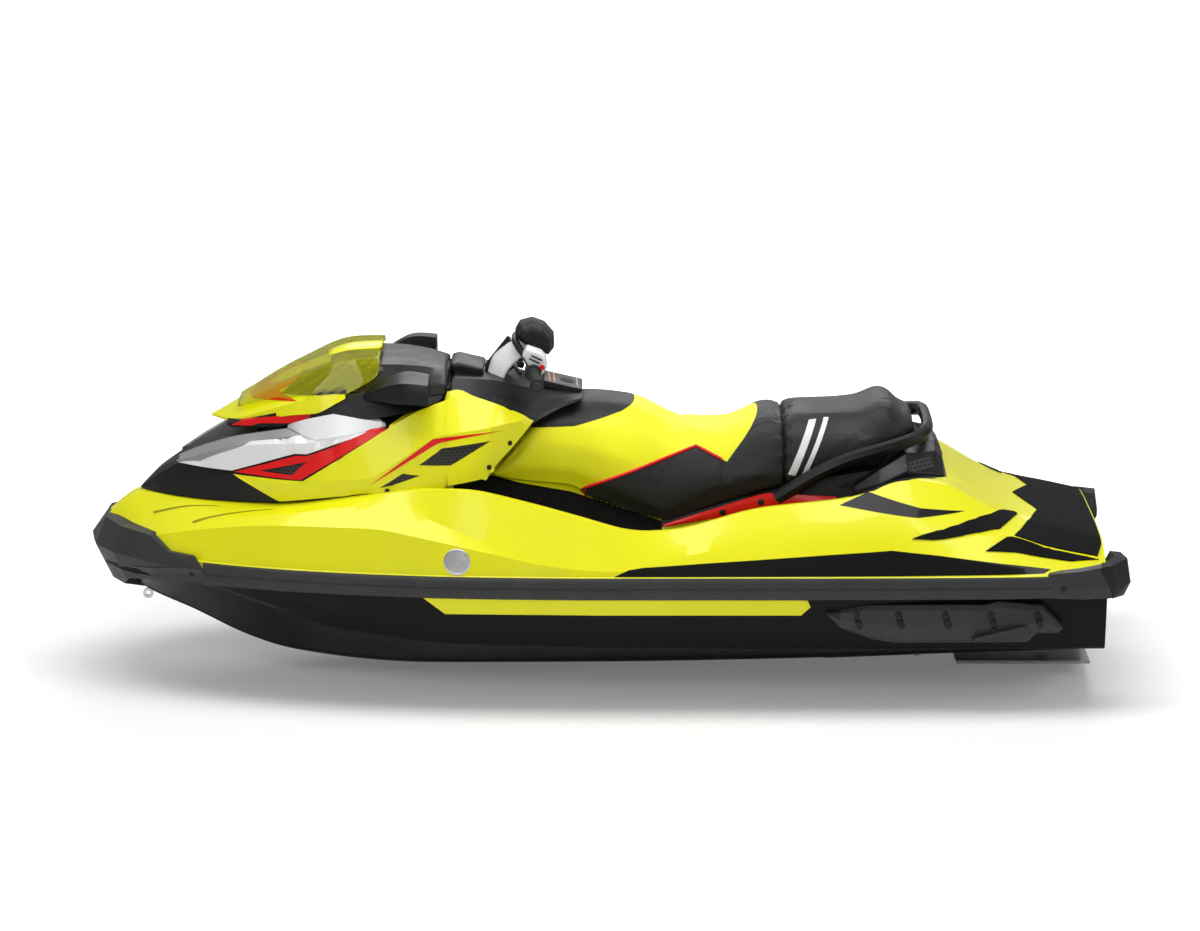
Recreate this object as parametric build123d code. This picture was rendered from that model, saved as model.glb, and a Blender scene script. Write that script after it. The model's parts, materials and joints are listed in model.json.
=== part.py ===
from build123d import *
import math
import os
from scipy.interpolate import PchipInterpolator

# Sit-down personal watercraft, about 3.3 m long.
# Frame: +X to the bow, +Y to port, +Z up, in millimetres.
# Origin: on the centreline, amidships, at the still waterline.

# ---------------------------------------------------------------- driving sizes
LENGTH = 3318.0              # bow bumper to corner bumpers
BEAM = 1225.0                # over the rub rails
HEIGHT = 1150.0              # keel to the top of the bar pad
DRAWN = (3318.0, 1225.0, 1150.0)  # the sizes at which the lines below are drawn
RAIL_OUT = 12.5              # rub rail, proud of the hull and deck flange
RAIL_LOW = 120.0             # rub rail, underside
BOND = 155.0                 # plane where hull and deck are bonded
RAIL_HIGH = 190.0            # rub rail, top
GAP = 0.3                    # seat of one curved piece on another
RUN_GAP = 9.0                # clearance between pieces that move past each other
SHELL = 14.0                 # wall of the moulded covers
BORE = 79.0                  # pump bore, radius
IMPELLER_GAP = 1.5           # blade tip to pump bore
PUMP_WALL = 11.0             # pump casting, wall
BLADES = 4                   # impeller blades
VANES = 7                    # stator vanes
BAR_R = 11.0                 # handlebar tube, radius
GRIP_R = 17.0                # handlebar grips, radius
GRAB_R = 14.0                # grab handle, radius
EYE_HOLE = 8.0               # tie-down eyes, radius of the hole
EYE_WALL = 9.0               # tie-down eyes, wall round the hole
EYE_THICK = 12.0             # tie-down eyes, thickness
EYE_FOOT = 5.0               # radius of an eye's foot
STEER_LEAN = 38.0            # steering axis, degrees back from upright
PIN_GAP = 0.05               # running clearance of every hinge pin
STATION = 50.0               # spacing of the sections
TINY = 0.01

SCALE = [size / drawn for size, drawn in zip((LENGTH, BEAM, HEIGHT), DRAWN)]


def at(x, y, z):
    """A drawn place, stretched to the driving sizes."""
    return Vector(x * SCALE[0], y * SCALE[1], z * SCALE[2])


# ---------------------------------------------------------------- shapes from lines
def lane(*keys, smooth=True):
    """A line that runs fore and aft through keys (x, y, z)."""
    keys = sorted(keys)
    xs = [key[0] for key in keys]

    def value(x, column):
        x = min(max(x, xs[0]), xs[-1])
        if smooth and len(keys) > 2:
            return float(PchipInterpolator(xs, [key[column] for key in keys])(x))
        for low, high in zip(keys, keys[1:]):
            if low[0] <= x <= high[0]:
                share = (x - low[0]) / (high[0] - low[0])
                return low[column] + share * (high[column] - low[column])
        return keys[0][column]

    return lambda x: (x, value(x, 1), value(x, 2))


def offset(line, dy=0.0, dz=0.0):
    """The same line, moved sideways or up."""
    def moved(x):
        px, py, pz = line(x)
        return px, max(py + dy, 0.0), pz + dz
    return moved


def between(low, high, share, out=0.0):
    """The line at a share of the way from one line to another, pushed outwards."""
    def middle(x):
        _, y_low, z_low = low(x)
        _, y_high, z_high = high(x)
        return x, y_low + share * (y_high - y_low) + out, z_low + share * (z_high - z_low)
    return middle


def stations(*breaks):
    """Section places between the given x values, each of which is kept."""
    breaks = sorted(breaks)
    places = [breaks[0]]
    for low, high in zip(breaks, breaks[1:]):
        count = max(1, round((high - low) / STATION))
        places += [low + (high - low) * step / count for step in range(1, count + 1)]
    return places


def apart(points):
    """The points of a ring, without the ones that repeat."""
    kept = []
    for point in points:
        if not kept or (point - kept[-1]).length > TINY:
            kept.append(point)
    if len(kept) > 1 and (kept[0] - kept[-1]).length <= TINY:
        kept.pop()
    return kept


def facet(points):
    points = apart(points)
    if len(points) < 3:
        return []
    if len(points) == 3:
        turn = (points[1] - points[0]).cross(points[2] - points[0])
        if turn.length < TINY:
            return []
    return [Face(Wire.make_polygon(points))]


def cap(ring):
    """The end of a skin: one flat face, or a fan of triangles round its middle."""
    ring = apart(ring)
    if len(ring) < 3:
        return []
    if max(abs(point.X - ring[0].X) for point in ring) < TINY:
        return facet(ring)
    middle = sum(ring, Vector()) / len(ring)
    faces = []
    for point, following in zip(ring, ring[1:] + ring[:1]):
        faces += facet([middle, point, following])
    return faces


def skin(rings):
    """A closed solid with flat facets, through rings of as many points each."""
    rings = [[at(*point) for point in ring] for ring in rings]
    faces = cap(rings[0]) + cap(rings[-1])
    for low, high in zip(rings, rings[1:]):
        for i in range(len(low)):
            j = (i + 1) % len(low)
            faces += facet([low[i], low[j], high[j]])
            faces += facet([low[i], high[j], high[i]])
    solid = Solid(Shell(faces))
    return solid if solid.volume > 0 else -solid


def both_sides(points):
    """Half a section from centreline to centreline, made whole."""
    return points + [(x, -y, z) for x, y, z in reversed(points) if y > TINY]


def body_of(lines, places):
    """A solid that is the same on both sides, through half-lines."""
    return skin([both_sides([line(x) for line in lines]) for x in places])


def side_body(lines, places, side):
    """A solid on one side only: side is 1 to port, -1 to starboard."""
    rings = [[(px, side * py, pz) for px, py, pz in (line(x) for line in lines)] for x in places]
    return skin(rings)


def box(low, high):
    """A box between two drawn corners."""
    low = at(*low)
    high = at(*high)
    size = high - low
    middle = low + size * 0.5
    return Pos(middle) * Box(size.X, size.Y, size.Z)


def prism(outline, low, high):
    """A side outline of (x, z) points, as a solid from y = low to y = high."""
    near = [at(x, low, z) for x, z in outline]
    far = [at(x, high, z) for x, z in outline]
    faces = facet(near) + facet(far)
    for i in range(len(outline)):
        j = (i + 1) % len(outline)
        faces += facet([near[i], near[j], far[j], far[i]])
    solid = Solid(Shell(faces))
    return solid if solid.volume > 0 else -solid


def rod(start, end, radius):
    """A round bar between two places in space."""
    start = Vector(*start)
    end = Vector(*end)
    way = end - start
    plane = Plane(origin=start, z_dir=way)
    return extrude(plane * Circle(radius), way.length)


def cone_rod(start, end, radius_a, radius_b):
    start = Vector(*start)
    end = Vector(*end)
    way = end - start
    plane = Plane(origin=start, z_dir=way)
    return plane * Pos(0, 0, way.length / 2) * Cone(radius_a, radius_b, way.length)


def bent_tube(points, radius, bend):
    """A tube along straight runs with rounded corners."""
    points = [Vector(*point) for point in points]
    path = FilletPolyline(*points, radius=bend)
    plane = Plane(origin=path @ 0, z_dir=path % 0)
    return sweep(plane * Circle(radius), path=path)


def less(piece, *others):
    """The piece with the others cut away, and crumbs dropped."""
    for other in others:
        piece = piece - other
    solids = sorted(piece.solids(), key=lambda solid: -solid.volume)
    return solids[0] if len(solids) == 1 else Compound(
        [solid for solid in solids if solid.volume > 0.02 * solids[0].volume])


# ---------------------------------------------------------------- hull lines
OUTLINE = lane(
    (1600, 118, 0), (1560, 186, 0), (1450, 285, 0), (1300, 375, 0), (1150, 440, 0),
    (950, 500, 0), (700, 550, 0), (400, 585, 0), (0, 600, 0), (-600, 600, 0),
    (-1200, 590, 0), (-1500, 565, 0), (-1585, 540, 0))


def outline_at(z, inset=0.0):
    """The plan outline of the flange, at a height."""
    return lambda x: (x, OUTLINE(x)[1] - inset, z)


KEEL = lane(
    (1600, 0, 119), (1487, 0, 12), (1311, 0, -71), (1149, 0, -155), (987, 0, -206),
    (759, 0, -240), (562, 0, -250), (0, 0, -250), (-647, 0, -238), (-1170, 0, -218),
    (-1585, 0, -204))
STRAKE = lane(
    (1600, 20, 119), (1487, 50, 24), (1311, 110, -40), (1149, 150, -110), (987, 190, -150),
    (562, 235, -178), (0, 245, -172), (-647, 245, -160), (-1585, 245, -130))
STRAKE_TOP = offset(STRAKE, 9, 10)
CHINE = lane(
    (1600, 60, 119), (1487, 190, 100), (1254, 352, 104), (987, 385, 14), (854, 430, -17),
    (511, 488, -50), (6, 500, -62), (-624, 500, -68), (-1585, 486, -68), smooth=False)
CHINE_TOP = lane(
    (1600, 62, 119), (1487, 196, 103), (1254, 358, 108), (987, 392, 20), (854, 440, -8),
    (511, 500, -38), (6, 512, -50), (-624, 512, -56), (-1585, 498, -56), smooth=False)
SIDE = lane(
    (1600, 80, 119), (1487, 220, 108), (1254, 370, 112), (987, 410, 32), (862, 500, 68),
    (508, 548, 63), (0, 566, 62), (-624, 566, 62), (-1585, 520, 62), smooth=False)
SIDE_TOP = lane(
    (1600, 100, 119), (1487, 240, 112), (1254, 385, 116), (987, 425, 42), (862, 506, 76),
    (775, 526, 116), (508, 566, 117), (0, 590, 117), (-624, 590, 117), (-1585, 528, 117),
    smooth=False)
HULL_PLACES = stations(1600, 1560, 1487, 1311, 1254, 1149, 987, 862, 775, 562, 508, 0, -624, -1170,
                       -1500, -1585)

# ---------------------------------------------------------------- deck lines
DECK_CREASE = lane(
    (1600, 108, 196), (1434, 268, 246), (1271, 362, 289), (1011, 464, 326), (725, 530, 332),
    (537, 560, 302), (318, 580, 257), (131, 592, 221), (-56, 593, 209), (-243, 592, 226),
    (-554, 590, 252), (-866, 584, 270), (-1116, 574, 245), (-1368, 556, 206),
    (-1495, 540, 198), (-1585, 515, 195))
DECK_FOLD = lane(
    (1600, 95, 210), (1434, 232, 262), (1271, 322, 312), (1011, 425, 352), (681, 462, 392),
    (475, 526, 330), (224, 580, 249), (-56, 588, 216), (-243, 578, 252), (-554, 560, 300),
    (-866, 545, 330), (-1116, 515, 306), (-1264, 485, 296), (-1368, 480, 262),
    (-1495, 478, 226), (-1585, 465, 208))
CREST = lane(
    (1600, 50, 262), (1482, 60, 340), (1317, 200, 346), (1036, 330, 361), (762, 400, 407),
    (540, 448, 440), (435, 478, 446), (241, 500, 411), (69, 518, 368), (-119, 526, 322),
    (-188, 508, 321), (-495, 480, 387), (-778, 455, 415), (-954, 400, 462),
    (-1088, 355, 436), (-1200, 335, 372), (-1313, 330, 316), (-1468, 345, 280),
    (-1585, 355, 252))
CREST_IN = lane(
    (1600, 40, 263), (1482, 50, 341), (1317, 188, 347), (1036, 318, 362), (762, 385, 408),
    (540, 425, 440), (435, 450, 444), (241, 472, 409), (69, 492, 366), (-119, 500, 320),
    (-188, 482, 319), (-495, 452, 385), (-778, 425, 413), (-954, 370, 460),
    (-1088, 325, 436), (-1200, 305, 374), (-1313, 300, 320), (-1468, 315, 284),
    (-1585, 325, 256))
FLOOR_OUT = lane(
    (1600, 30, 264), (1482, 40, 341), (1317, 170, 347), (1036, 300, 363), (762, 370, 409),
    (560, 400, 436), (470, 400, 215), (241, 425, 174), (69, 440, 170), (-119, 448, 170),
    (-495, 415, 172), (-778, 385, 176), (-880, 370, 210), (-960, 352, 458),
    (-1088, 300, 438), (-1200, 280, 376), (-1313, 275, 322), (-1468, 290, 286),
    (-1585, 300, 258), smooth=False)
FLOOR_IN = lane(
    (1600, 20, 264), (1482, 30, 341), (1317, 140, 347), (1036, 250, 364), (762, 320, 410),
    (560, 330, 438), (470, 290, 220), (241, 266, 174), (69, 260, 170), (-119, 258, 170),
    (-495, 262, 172), (-778, 268, 176), (-880, 270, 210), (-960, 272, 456),
    (-1088, 250, 440), (-1200, 240, 378), (-1313, 235, 324), (-1468, 250, 288),
    (-1585, 260, 260), smooth=False)
SHOULDER = lane(
    (1600, 15, 265), (1482, 20, 342), (1317, 110, 348), (1036, 200, 365), (762, 260, 411),
    (560, 270, 440), (470, 250, 440), (355, 221, 420), (102, 220, 364), (-190, 220, 272),
    (-300, 220, 296), (-519, 220, 376), (-740, 220, 434), (-954, 220, 458),
    (-1088, 215, 442), (-1200, 205, 380), (-1313, 200, 326), (-1468, 210, 290),
    (-1585, 220, 262))
PEDESTAL = lane(
    (1600, 10, 265), (1482, 10, 342), (1317, 80, 348), (1036, 150, 366), (762, 190, 412),
    (560, 190, 445), (355, 172, 455), (102, 168, 440), (-190, 168, 425), (-519, 172, 432),
    (-740, 176, 446), (-954, 180, 460), (-1088, 170, 444), (-1200, 160, 382),
    (-1313, 155, 328), (-1468, 165, 292), (-1585, 175, 264))
DECK_PLACES = stations(1600, 1560, 1482, 1434, 1317, 1271, 1036, 1011, 762, 681, 560, 470, 435, 355,
                       241, 69, -56, -119, -188, -300, -495, -519, -778, -880, -960, -1088,
                       -1200, -1313, -1468, -1585)


def centre(line):
    """The point on the centreline level with a line."""
    return lambda x: (x, 0.0, line(x)[2])


# ---------------------------------------------------------------- cavities
BAY = ((-560, -150, -130), (330, 150, 600))          # engine bay
BIN = ((760, -165, 210), (1100, 165, 900))           # storage bin under the hood
PUMP_Z = -98.0               # height of the pump axis
PUMP_FRONT = -1150.0
PUMP_REAR = -1400.0
FLANGE = 8.0                 # pump flange, proud of the casting
RING_IN = BORE + 13.0        # trim ring, radii
RING_OUT = RING_IN + 9.0
EAR_IN = RING_OUT + 3.0      # pump brackets, each side of the axis
EAR_OUT = EAR_IN + 8.0
ARM_IN = EAR_OUT + 4.0       # reverse gate arms, each side of the axis
ARM_OUT = ARM_IN + 7.0
GATE_IN = 152.0              # reverse gate, inner radius
GATE_WALL = 8.0
TUNNEL_HALF = ARM_OUT + 7.0  # pump tunnel, each side of the axis
TUNNEL_TOP = BORE + PUMP_WALL + FLANGE + 6.0      # pump tunnel, above the axis
GATE_TOP = GATE_IN + GATE_WALL + 14.0             # room for the raised gate, above the axis
PLATE_TOP = BORE + PUMP_WALL + FLANGE + 10.0      # ride plate, below the axis


def pump_room(rear, front, low, high):
    """A block as wide as the pump tunnel, from low to high of the pump axis."""
    start = at(rear, 0, PUMP_Z) + Vector(0, -TUNNEL_HALF, low)
    end = at(front, 0, PUMP_Z) + Vector(0, TUNNEL_HALF, high)
    size = end - start
    return Pos(start + size * 0.5) * Box(size.X, size.Y, size.Z)


def beside_axis(reach):
    """A height from the pump axis, as a drawn height."""
    return PUMP_Z + reach / SCALE[2]


def across_tunnel(reach):
    """A distance from the pump axis, as a drawn distance."""
    return reach / SCALE[1]


DUCT_HALF = BORE - 1.0       # intake duct, each side of the axis


def intake_cut():
    """Duct that rises from the keel to the pump."""
    outline = [(-610, -300), (-1050, -300), (-1151, beside_axis(-DUCT_HALF)),
               (-1151, beside_axis(DUCT_HALF - 2)), (-1080, beside_axis(DUCT_HALF - 10)), (-840, -150)]
    return prism(outline, -across_tunnel(DUCT_HALF), across_tunnel(DUCT_HALF))


def make_hull():
    flat_top = outline_at(BOND)
    solid = body_of([KEEL, STRAKE, STRAKE_TOP, CHINE, CHINE_TOP, SIDE, SIDE_TOP,
                     outline_at(RAIL_LOW), flat_top, centre(flat_top)], HULL_PLACES)
    tunnel = pump_room(-1700, PUMP_FRONT, -300, TUNNEL_TOP)
    gate_room = pump_room(-1700, -1436, TUNNEL_TOP - 20, GATE_TOP)
    return less(solid, box(*BAY), tunnel, gate_room, intake_cut())


WALL_FRONT = 560.0           # gunwales, front end
WALL_REAR = -960.0           # gunwales, rear end
WALL_IN = 400.0              # gunwales, plane where they meet the deck's middle


def gunwale_room(side):
    """The space that holds the outer wall of one footwell."""
    low, high = sorted((side * WALL_IN, side * 700.0))
    return box((WALL_REAR, low, RAIL_LOW), (WALL_FRONT, high, 600.0))


def make_whole_deck():
    base = outline_at(BOND)
    solid = body_of([centre(base), base, outline_at(RAIL_HIGH), outline_at(RAIL_HIGH + 2, 4),
                     DECK_CREASE, DECK_FOLD, CREST, CREST_IN, FLOOR_OUT, FLOOR_IN, SHOULDER,
                     PEDESTAL, centre(PEDESTAL)], DECK_PLACES)
    return less(solid, box(*BAY), box(*BIN))


def make_deck(whole):
    """The deck moulding without the outer walls of its footwells."""
    return less(whole, gunwale_room(1), gunwale_room(-1))


def make_gunwale(whole, side):
    """The outer wall of one footwell."""
    return whole & gunwale_room(side)


# ---------------------------------------------------------------- rails and bumpers
RAIL_FRONT = 1262.0
RAIL_REAR = -1412.0


def make_rub_rail(side, *neighbours):
    lines = [outline_at(RAIL_LOW), outline_at(RAIL_LOW + 6, -RAIL_OUT + 2),
             outline_at(RAIL_LOW + 14, -RAIL_OUT), outline_at(RAIL_HIGH - 14, -RAIL_OUT),
             outline_at(RAIL_HIGH - 1, -RAIL_OUT + 6), outline_at(RAIL_HIGH)]
    places = stations(RAIL_FRONT, 950, 400, 0, -600, -1200, RAIL_REAR)
    return less(side_body(lines, places, side), *neighbours)


BUMPER = [   # sections from the port seam to the nose: six (x, y, z) points each
    [(1262, 372, 120), (1248, 401, 121), (1256, 405, 160), (1286, 392, 207), (1296, 360, 208),
     (1296, 340, 160)],
    [(1360, 320, 112), (1345, 356, 116), (1362, 358, 165), (1372, 345, 210), (1366, 318, 212),
     (1360, 300, 160)],
    [(1430, 262, 105), (1418, 305, 110), (1452, 306, 172), (1443, 290, 254), (1420, 262, 256),
     (1400, 240, 160)],
    [(1520, 160, 80), (1528, 196, 88), (1566, 206, 176), (1540, 190, 258), (1500, 165, 262),
     (1480, 140, 160)],
    [(1545, 80, 40), (1580, 96, 66), (1632, 110, 180), (1600, 96, 266), (1560, 80, 270),
     (1520, 70, 160)],
    [(1470, 0, 8), (1500, 0, 14), (1650, 0, 168), (1654, 0, 196), (1600, 0, 272),
     (1540, 0, 274)],
]


def make_front_bumper(hull, deck):
    half = BUMPER
    other = [[(x, -y, z) for x, y, z in ring] for ring in reversed(half[:-1])]
    return less(skin(half + other), hull, deck)


CORNER = [   # corner bumper sections, port: six (x, y, z) points each
    [(-1412, 540, 121), (-1404, 584, 121), (-1400, 588, 150), (-1392, 584, 198),
     (-1400, 548, 199), (-1410, 520, 160)],
    [(-1500, 535, 118), (-1500, 578, 116), (-1500, 583, 150), (-1500, 576, 206),
     (-1500, 545, 210), (-1500, 510, 160)],
    [(-1585, 500, 114), (-1600, 545, 112), (-1606, 552, 150), (-1596, 540, 214),
     (-1578, 515, 218), (-1560, 480, 160)],
    [(-1600, 455, 110), (-1640, 480, 108), (-1659, 486, 150), (-1648, 478, 222),
     (-1612, 462, 226), (-1570, 440, 160)],
    [(-1590, 400, 112), (-1630, 398, 112), (-1648, 398, 150), (-1636, 398, 222),
     (-1605, 400, 226), (-1572, 402, 160)],
]


def make_corner_bumper(side, hull, deck):
    rings = [[(x, side * y, z) for x, y, z in ring] for ring in CORNER]
    return less(skin(rings), hull, deck)


# ---------------------------------------------------------------- sponsons
def make_sponson(side, hull):
    low = lane((-705, 560, 66), (-745, 560, 20), (-847, 560, -18), (-919, 560, -29),
               (-1333, 552, -29), (-1364, 552, 0), (-1427, 550, 1), (-1444, 549, 20), smooth=False)
    high = lane((-705, 560, 72), (-830, 572, 97), (-1204, 572, 97), (-1240, 570, 109),
                (-1381, 562, 92), (-1444, 551, 24), smooth=False)
    lines = [offset(low, -90), low, between(low, high, 0.15, 20), between(low, high, 0.85, 10),
             high, offset(high, -90)]
    places = stations(-705, -745, -830, -847, -919, -1204, -1240, -1333, -1364, -1381, -1427,
                      -1444)
    return less(side_body(lines, places, side), hull)


# ---------------------------------------------------------------- front cowl and console
COWL_BASE = lane(
    (1492, 8, 342), (1431, 88, 346), (1362, 150, 350), (1283, 205, 352), (1175, 262, 358),
    (1036, 322, 366), (930, 352, 378), (762, 392, 408), (560, 404, 438), (494, 402, 440),
    (430, 388, 444), (368, 352, 452), (344, 336, 482), (217, 258, 614), (130, 190, 646),
    (64, 150, 664), smooth=False)
COWL_FOLD = lane(
    (1492, 7, 345), (1431, 84, 366), (1362, 146, 386), (1283, 200, 412), (1175, 256, 446),
    (1019, 340, 432), (724, 404, 465), (524, 400, 598), (368, 345, 610), (288, 304, 620),
    (217, 250, 624), (130, 172, 656), (64, 140, 668), smooth=False)
COWL_BROW = lane(
    (1492, 5, 347), (1431, 60, 398), (1362, 98, 448), (1175, 236, 530), (930, 345, 562),
    (670, 370, 616), (529, 338, 686), (458, 298, 704), (368, 250, 690), (217, 190, 664),
    (130, 140, 668), (64, 110, 672), smooth=False)
COWL_TOP = lane(
    (1492, 3, 348), (1431, 30, 410), (1362, 50, 455), (1283, 110, 500), (1175, 190, 548),
    (1036, 250, 582), (930, 282, 604), (762, 305, 626), (560, 290, 656), (494, 265, 664),
    (479, 180, 742), (344, 150, 728), (217, 120, 692), (130, 100, 680), (64, 80, 675),
    smooth=False)
COWL_SPLIT = 490.0           # joint between front cowl and console
HINGE = (1264.0, 574.0)      # hood hinge, x and z
HINGE_PIN = 5.0              # hood hinge, radius of the pin
TONGUE = 14.0                # hood hinge, half width of the cowl's tongue
PIN_REACH = 32.0             # hood hinge, half length of the pin
COWL_FRONT = stations(1492, 1431, 1362, 1283, 1175, 1036, 1019, 930, 762, 724, 670, 560, 529, 524,
                      494, COWL_SPLIT)
CONSOLE_PLACES = stations(COWL_SPLIT, 479, 458, 430, 368, 344, 288, 217, 130, 64)


def cowl_block(places, grow=0.0):
    """The body that the front covers are fixed to, grown outwards if asked."""
    lines = [centre(COWL_BASE), offset(COWL_BASE, grow), offset(COWL_FOLD, grow),
             offset(COWL_BROW, grow, grow / 2), offset(COWL_TOP, grow, grow),
             offset(centre(COWL_TOP), 0, grow)]
    return body_of(lines, places)


def make_front_cowl(deck):
    cowl = less(cowl_block(COWL_FRONT), deck, box(*BIN))
    tongue = prism([(1236, 480), (1290, 480), (1276, 577), (1256, 577)], -TONGUE, TONGUE)
    pin = rod(hinge_point(-PIN_REACH), hinge_point(PIN_REACH), HINGE_PIN)
    return cowl + tongue + pin


def make_console(deck, openings):
    return less(cowl_block(CONSOLE_PLACES), deck, openings)


def hinge_point(y):
    place = at(HINGE[0], 0, HINGE[1])
    return Vector(place.X, y, place.Z)


def hood_ears():
    """Pair of ears that hang the hood on its hinge pin."""
    outline = [(1188, 584), (1188, 598), (1214, 590), (1266, 584), (1274, 574), (1266, 565),
               (1210, 568)]
    inner = TONGUE + 3
    ears = prism(outline, inner, inner + 11) + prism(outline, -inner - 11, -inner)
    return ears - rod(hinge_point(-PIN_REACH - 8), hinge_point(PIN_REACH + 8), HINGE_PIN + PIN_GAP)


PANEL_IN = 70.0              # cutting block of the painted panels, nearest the centreline
PANEL_OUT = 500.0            # the same, furthest out
PANEL = 8.0                  # thickness of the painted panels


def cladding(outline, side, thickness, *neighbours):
    """A panel of the given side outline, laid on the cowl and console."""
    places = CONSOLE_PLACES + COWL_FRONT[1:]
    skin_block = cowl_block(places, thickness) - cowl_block(places)
    low, high = sorted((side * PANEL_IN, side * PANEL_OUT))
    panel = skin_block & prism(outline, low, high)
    return less(panel, *neighbours)


SIDE_COWL = [(1170, 445), (1019, 374), (762, 411), (494, 440), (366, 455), (340, 486),
             (219, 618), (290, 650), (458, 716), (529, 694), (666, 621), (944, 444)]
NOSE_INSERT = [(1366, 446), (1175, 455), (970, 528), (930, 530), (851, 560), (680, 620),
               (720, 640), (851, 652), (1175, 560), (1330, 472)]
VENT_SURROUND = [(1166, 452), (952, 447), (672, 617), (734, 606), (851, 554), (930, 524),
                 (966, 522)]


def make_side_cowl(side, deck):
    return cladding(SIDE_COWL, side, PANEL, deck, hood_block(RUN_GAP))


def make_nose_insert(side):
    return cladding(NOSE_INSERT, side, PANEL, hood_block(RUN_GAP))


def make_vent_surround(side, insert):
    return cladding(VENT_SURROUND, side, PANEL, insert)


# ---------------------------------------------------------------- hood
HOOD_EDGE = lane(
    (1200, 150, 578), (1070, 235, 592), (970, 275, 612), (811, 318, 636), (676, 335, 648),
    (560, 300, 672), (495, 255, 694))
HOOD_SIDE = lane(
    (1200, 145, 584), (1070, 225, 625), (970, 262, 668), (811, 290, 704), (676, 298, 716),
    (560, 258, 728), (495, 230, 730))
HOOD_TOP = lane(
    (1200, 60, 600), (1070, 120, 672), (970, 150, 720), (811, 180, 780), (676, 170, 784),
    (560, 150, 772), (495, 130, 756))
HOOD_RIDGE = lane(
    (1200, 0, 604), (1070, 0, 680), (970, 0, 728), (811, 0, 788), (676, 0, 790),
    (560, 0, 778), (495, 0, 758))
HOOD_PLACES = stations(1200, 1070, 970, 811, 676, 560, 495)


def hood_block(clear=0.0):
    """The hood as if it were solid, grown by a clearance."""
    lines = [offset(centre(HOOD_EDGE), 0, -clear), offset(HOOD_EDGE, clear, -clear),
             offset(HOOD_SIDE, clear), offset(HOOD_TOP, clear, clear),
             offset(HOOD_RIDGE, 0, clear)]
    return body_of(lines, [HOOD_PLACES[0] - clear] + HOOD_PLACES[1:-1] + [HOOD_PLACES[-1] + clear])


def make_hood():
    inner = body_of([offset(centre(HOOD_EDGE), 0, -200), offset(HOOD_EDGE, -SHELL, -200),
                     offset(HOOD_EDGE, -SHELL, 0), offset(HOOD_SIDE, -SHELL, -4),
                     offset(HOOD_TOP, -SHELL, -SHELL), offset(HOOD_RIDGE, 0, -SHELL)],
                    stations(1150, 1070, 970, 811, 676, 560, 515))
    return less(hood_block(), inner) + hood_ears()


def make_beak():
    edge = lane((1259, 5, 580), (1202, 100, 584), (1157, 165, 592), (985, 275, 640),
                (897, 300, 650), (811, 306, 700), smooth=False)
    brow = lane((1259, 4, 584), (1202, 98, 592), (1157, 160, 606), (985, 268, 676),
                (897, 288, 706), (811, 292, 716), smooth=False)
    ridge = lane((1259, 0, 588), (1202, 0, 618), (1070, 0, 690), (970, 0, 738), (811, 0, 798))
    top = lane((1259, 3, 586), (1202, 50, 612), (1070, 125, 684), (970, 160, 730), (811, 190, 790))
    lines = [centre(edge), edge, brow, top, ridge]
    beak = body_of(lines, stations(1259, 1202, 1157, 1070, 985, 897, 811))
    return less(beak, hood_block(), hood_ears())


def make_visor(beak):
    edge = lane((1150, 120, 640), (985, 235, 690), (811, 270, 745), (700, 268, 770))
    top = lane((1150, 60, 664), (985, 150, 742), (811, 180, 800), (700, 170, 800))
    lines = [offset(edge, -40, -30), edge, top, offset(top, -60, -30)]
    parts = [side_body(lines, stations(1150, 985, 811, 700), side) for side in (1, -1)]
    return Compound([less(part, hood_block(), beak) for part in parts])


def make_mirror(side):
    rings = [
        [(760, 250, 690), (760, 285, 690), (760, 285, 715), (760, 250, 722)],
        [(690, 262, 700), (690, 350, 700), (690, 350, 752), (690, 262, 762)],
        [(610, 275, 700), (610, 425, 702), (610, 420, 776), (610, 280, 790)],
        [(545, 290, 696), (545, 425, 696), (545, 415, 764), (545, 295, 774)],
    ]
    rings = [[(x, side * y, z) for x, y, z in ring] for ring in rings]
    pocket = box((530, side * 305 if side > 0 else side * 412, 706),
                 (553, side * 412 if side > 0 else side * 305, 758))
    return less(skin(rings), hood_block(), pocket)


def make_mirror_glass(side):
    near, far = (307, 410) if side > 0 else (-410, -307)
    return box((547, near, 708), (552.9, far, 756))


# ---------------------------------------------------------------- glovebox
LID = [(196, 702), (66, 676), (64, 690), (192, 722)]
LID_HINGE = (194.0, 714.0)   # x and z
LID_BARREL = 5.0             # radius of the rolled edge that the lid turns on
LID_HALF = 84.0              # half the width of the lid


def lid_barrel(clear=0.0):
    start = at(LID_HINGE[0], -LID_HALF - clear, LID_HINGE[1])
    end = at(LID_HINGE[0], LID_HALF + clear, LID_HINGE[1])
    return rod(start, end, LID_BARREL + clear)


def make_lid():
    return prism(LID, -LID_HALF, LID_HALF) + lid_barrel()


def tray_cut():
    """The glovebox below its lid."""
    return prism([(190, 705), (72, 679), (72, 660), (100, 640), (190, 640)], -70, 70)


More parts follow.
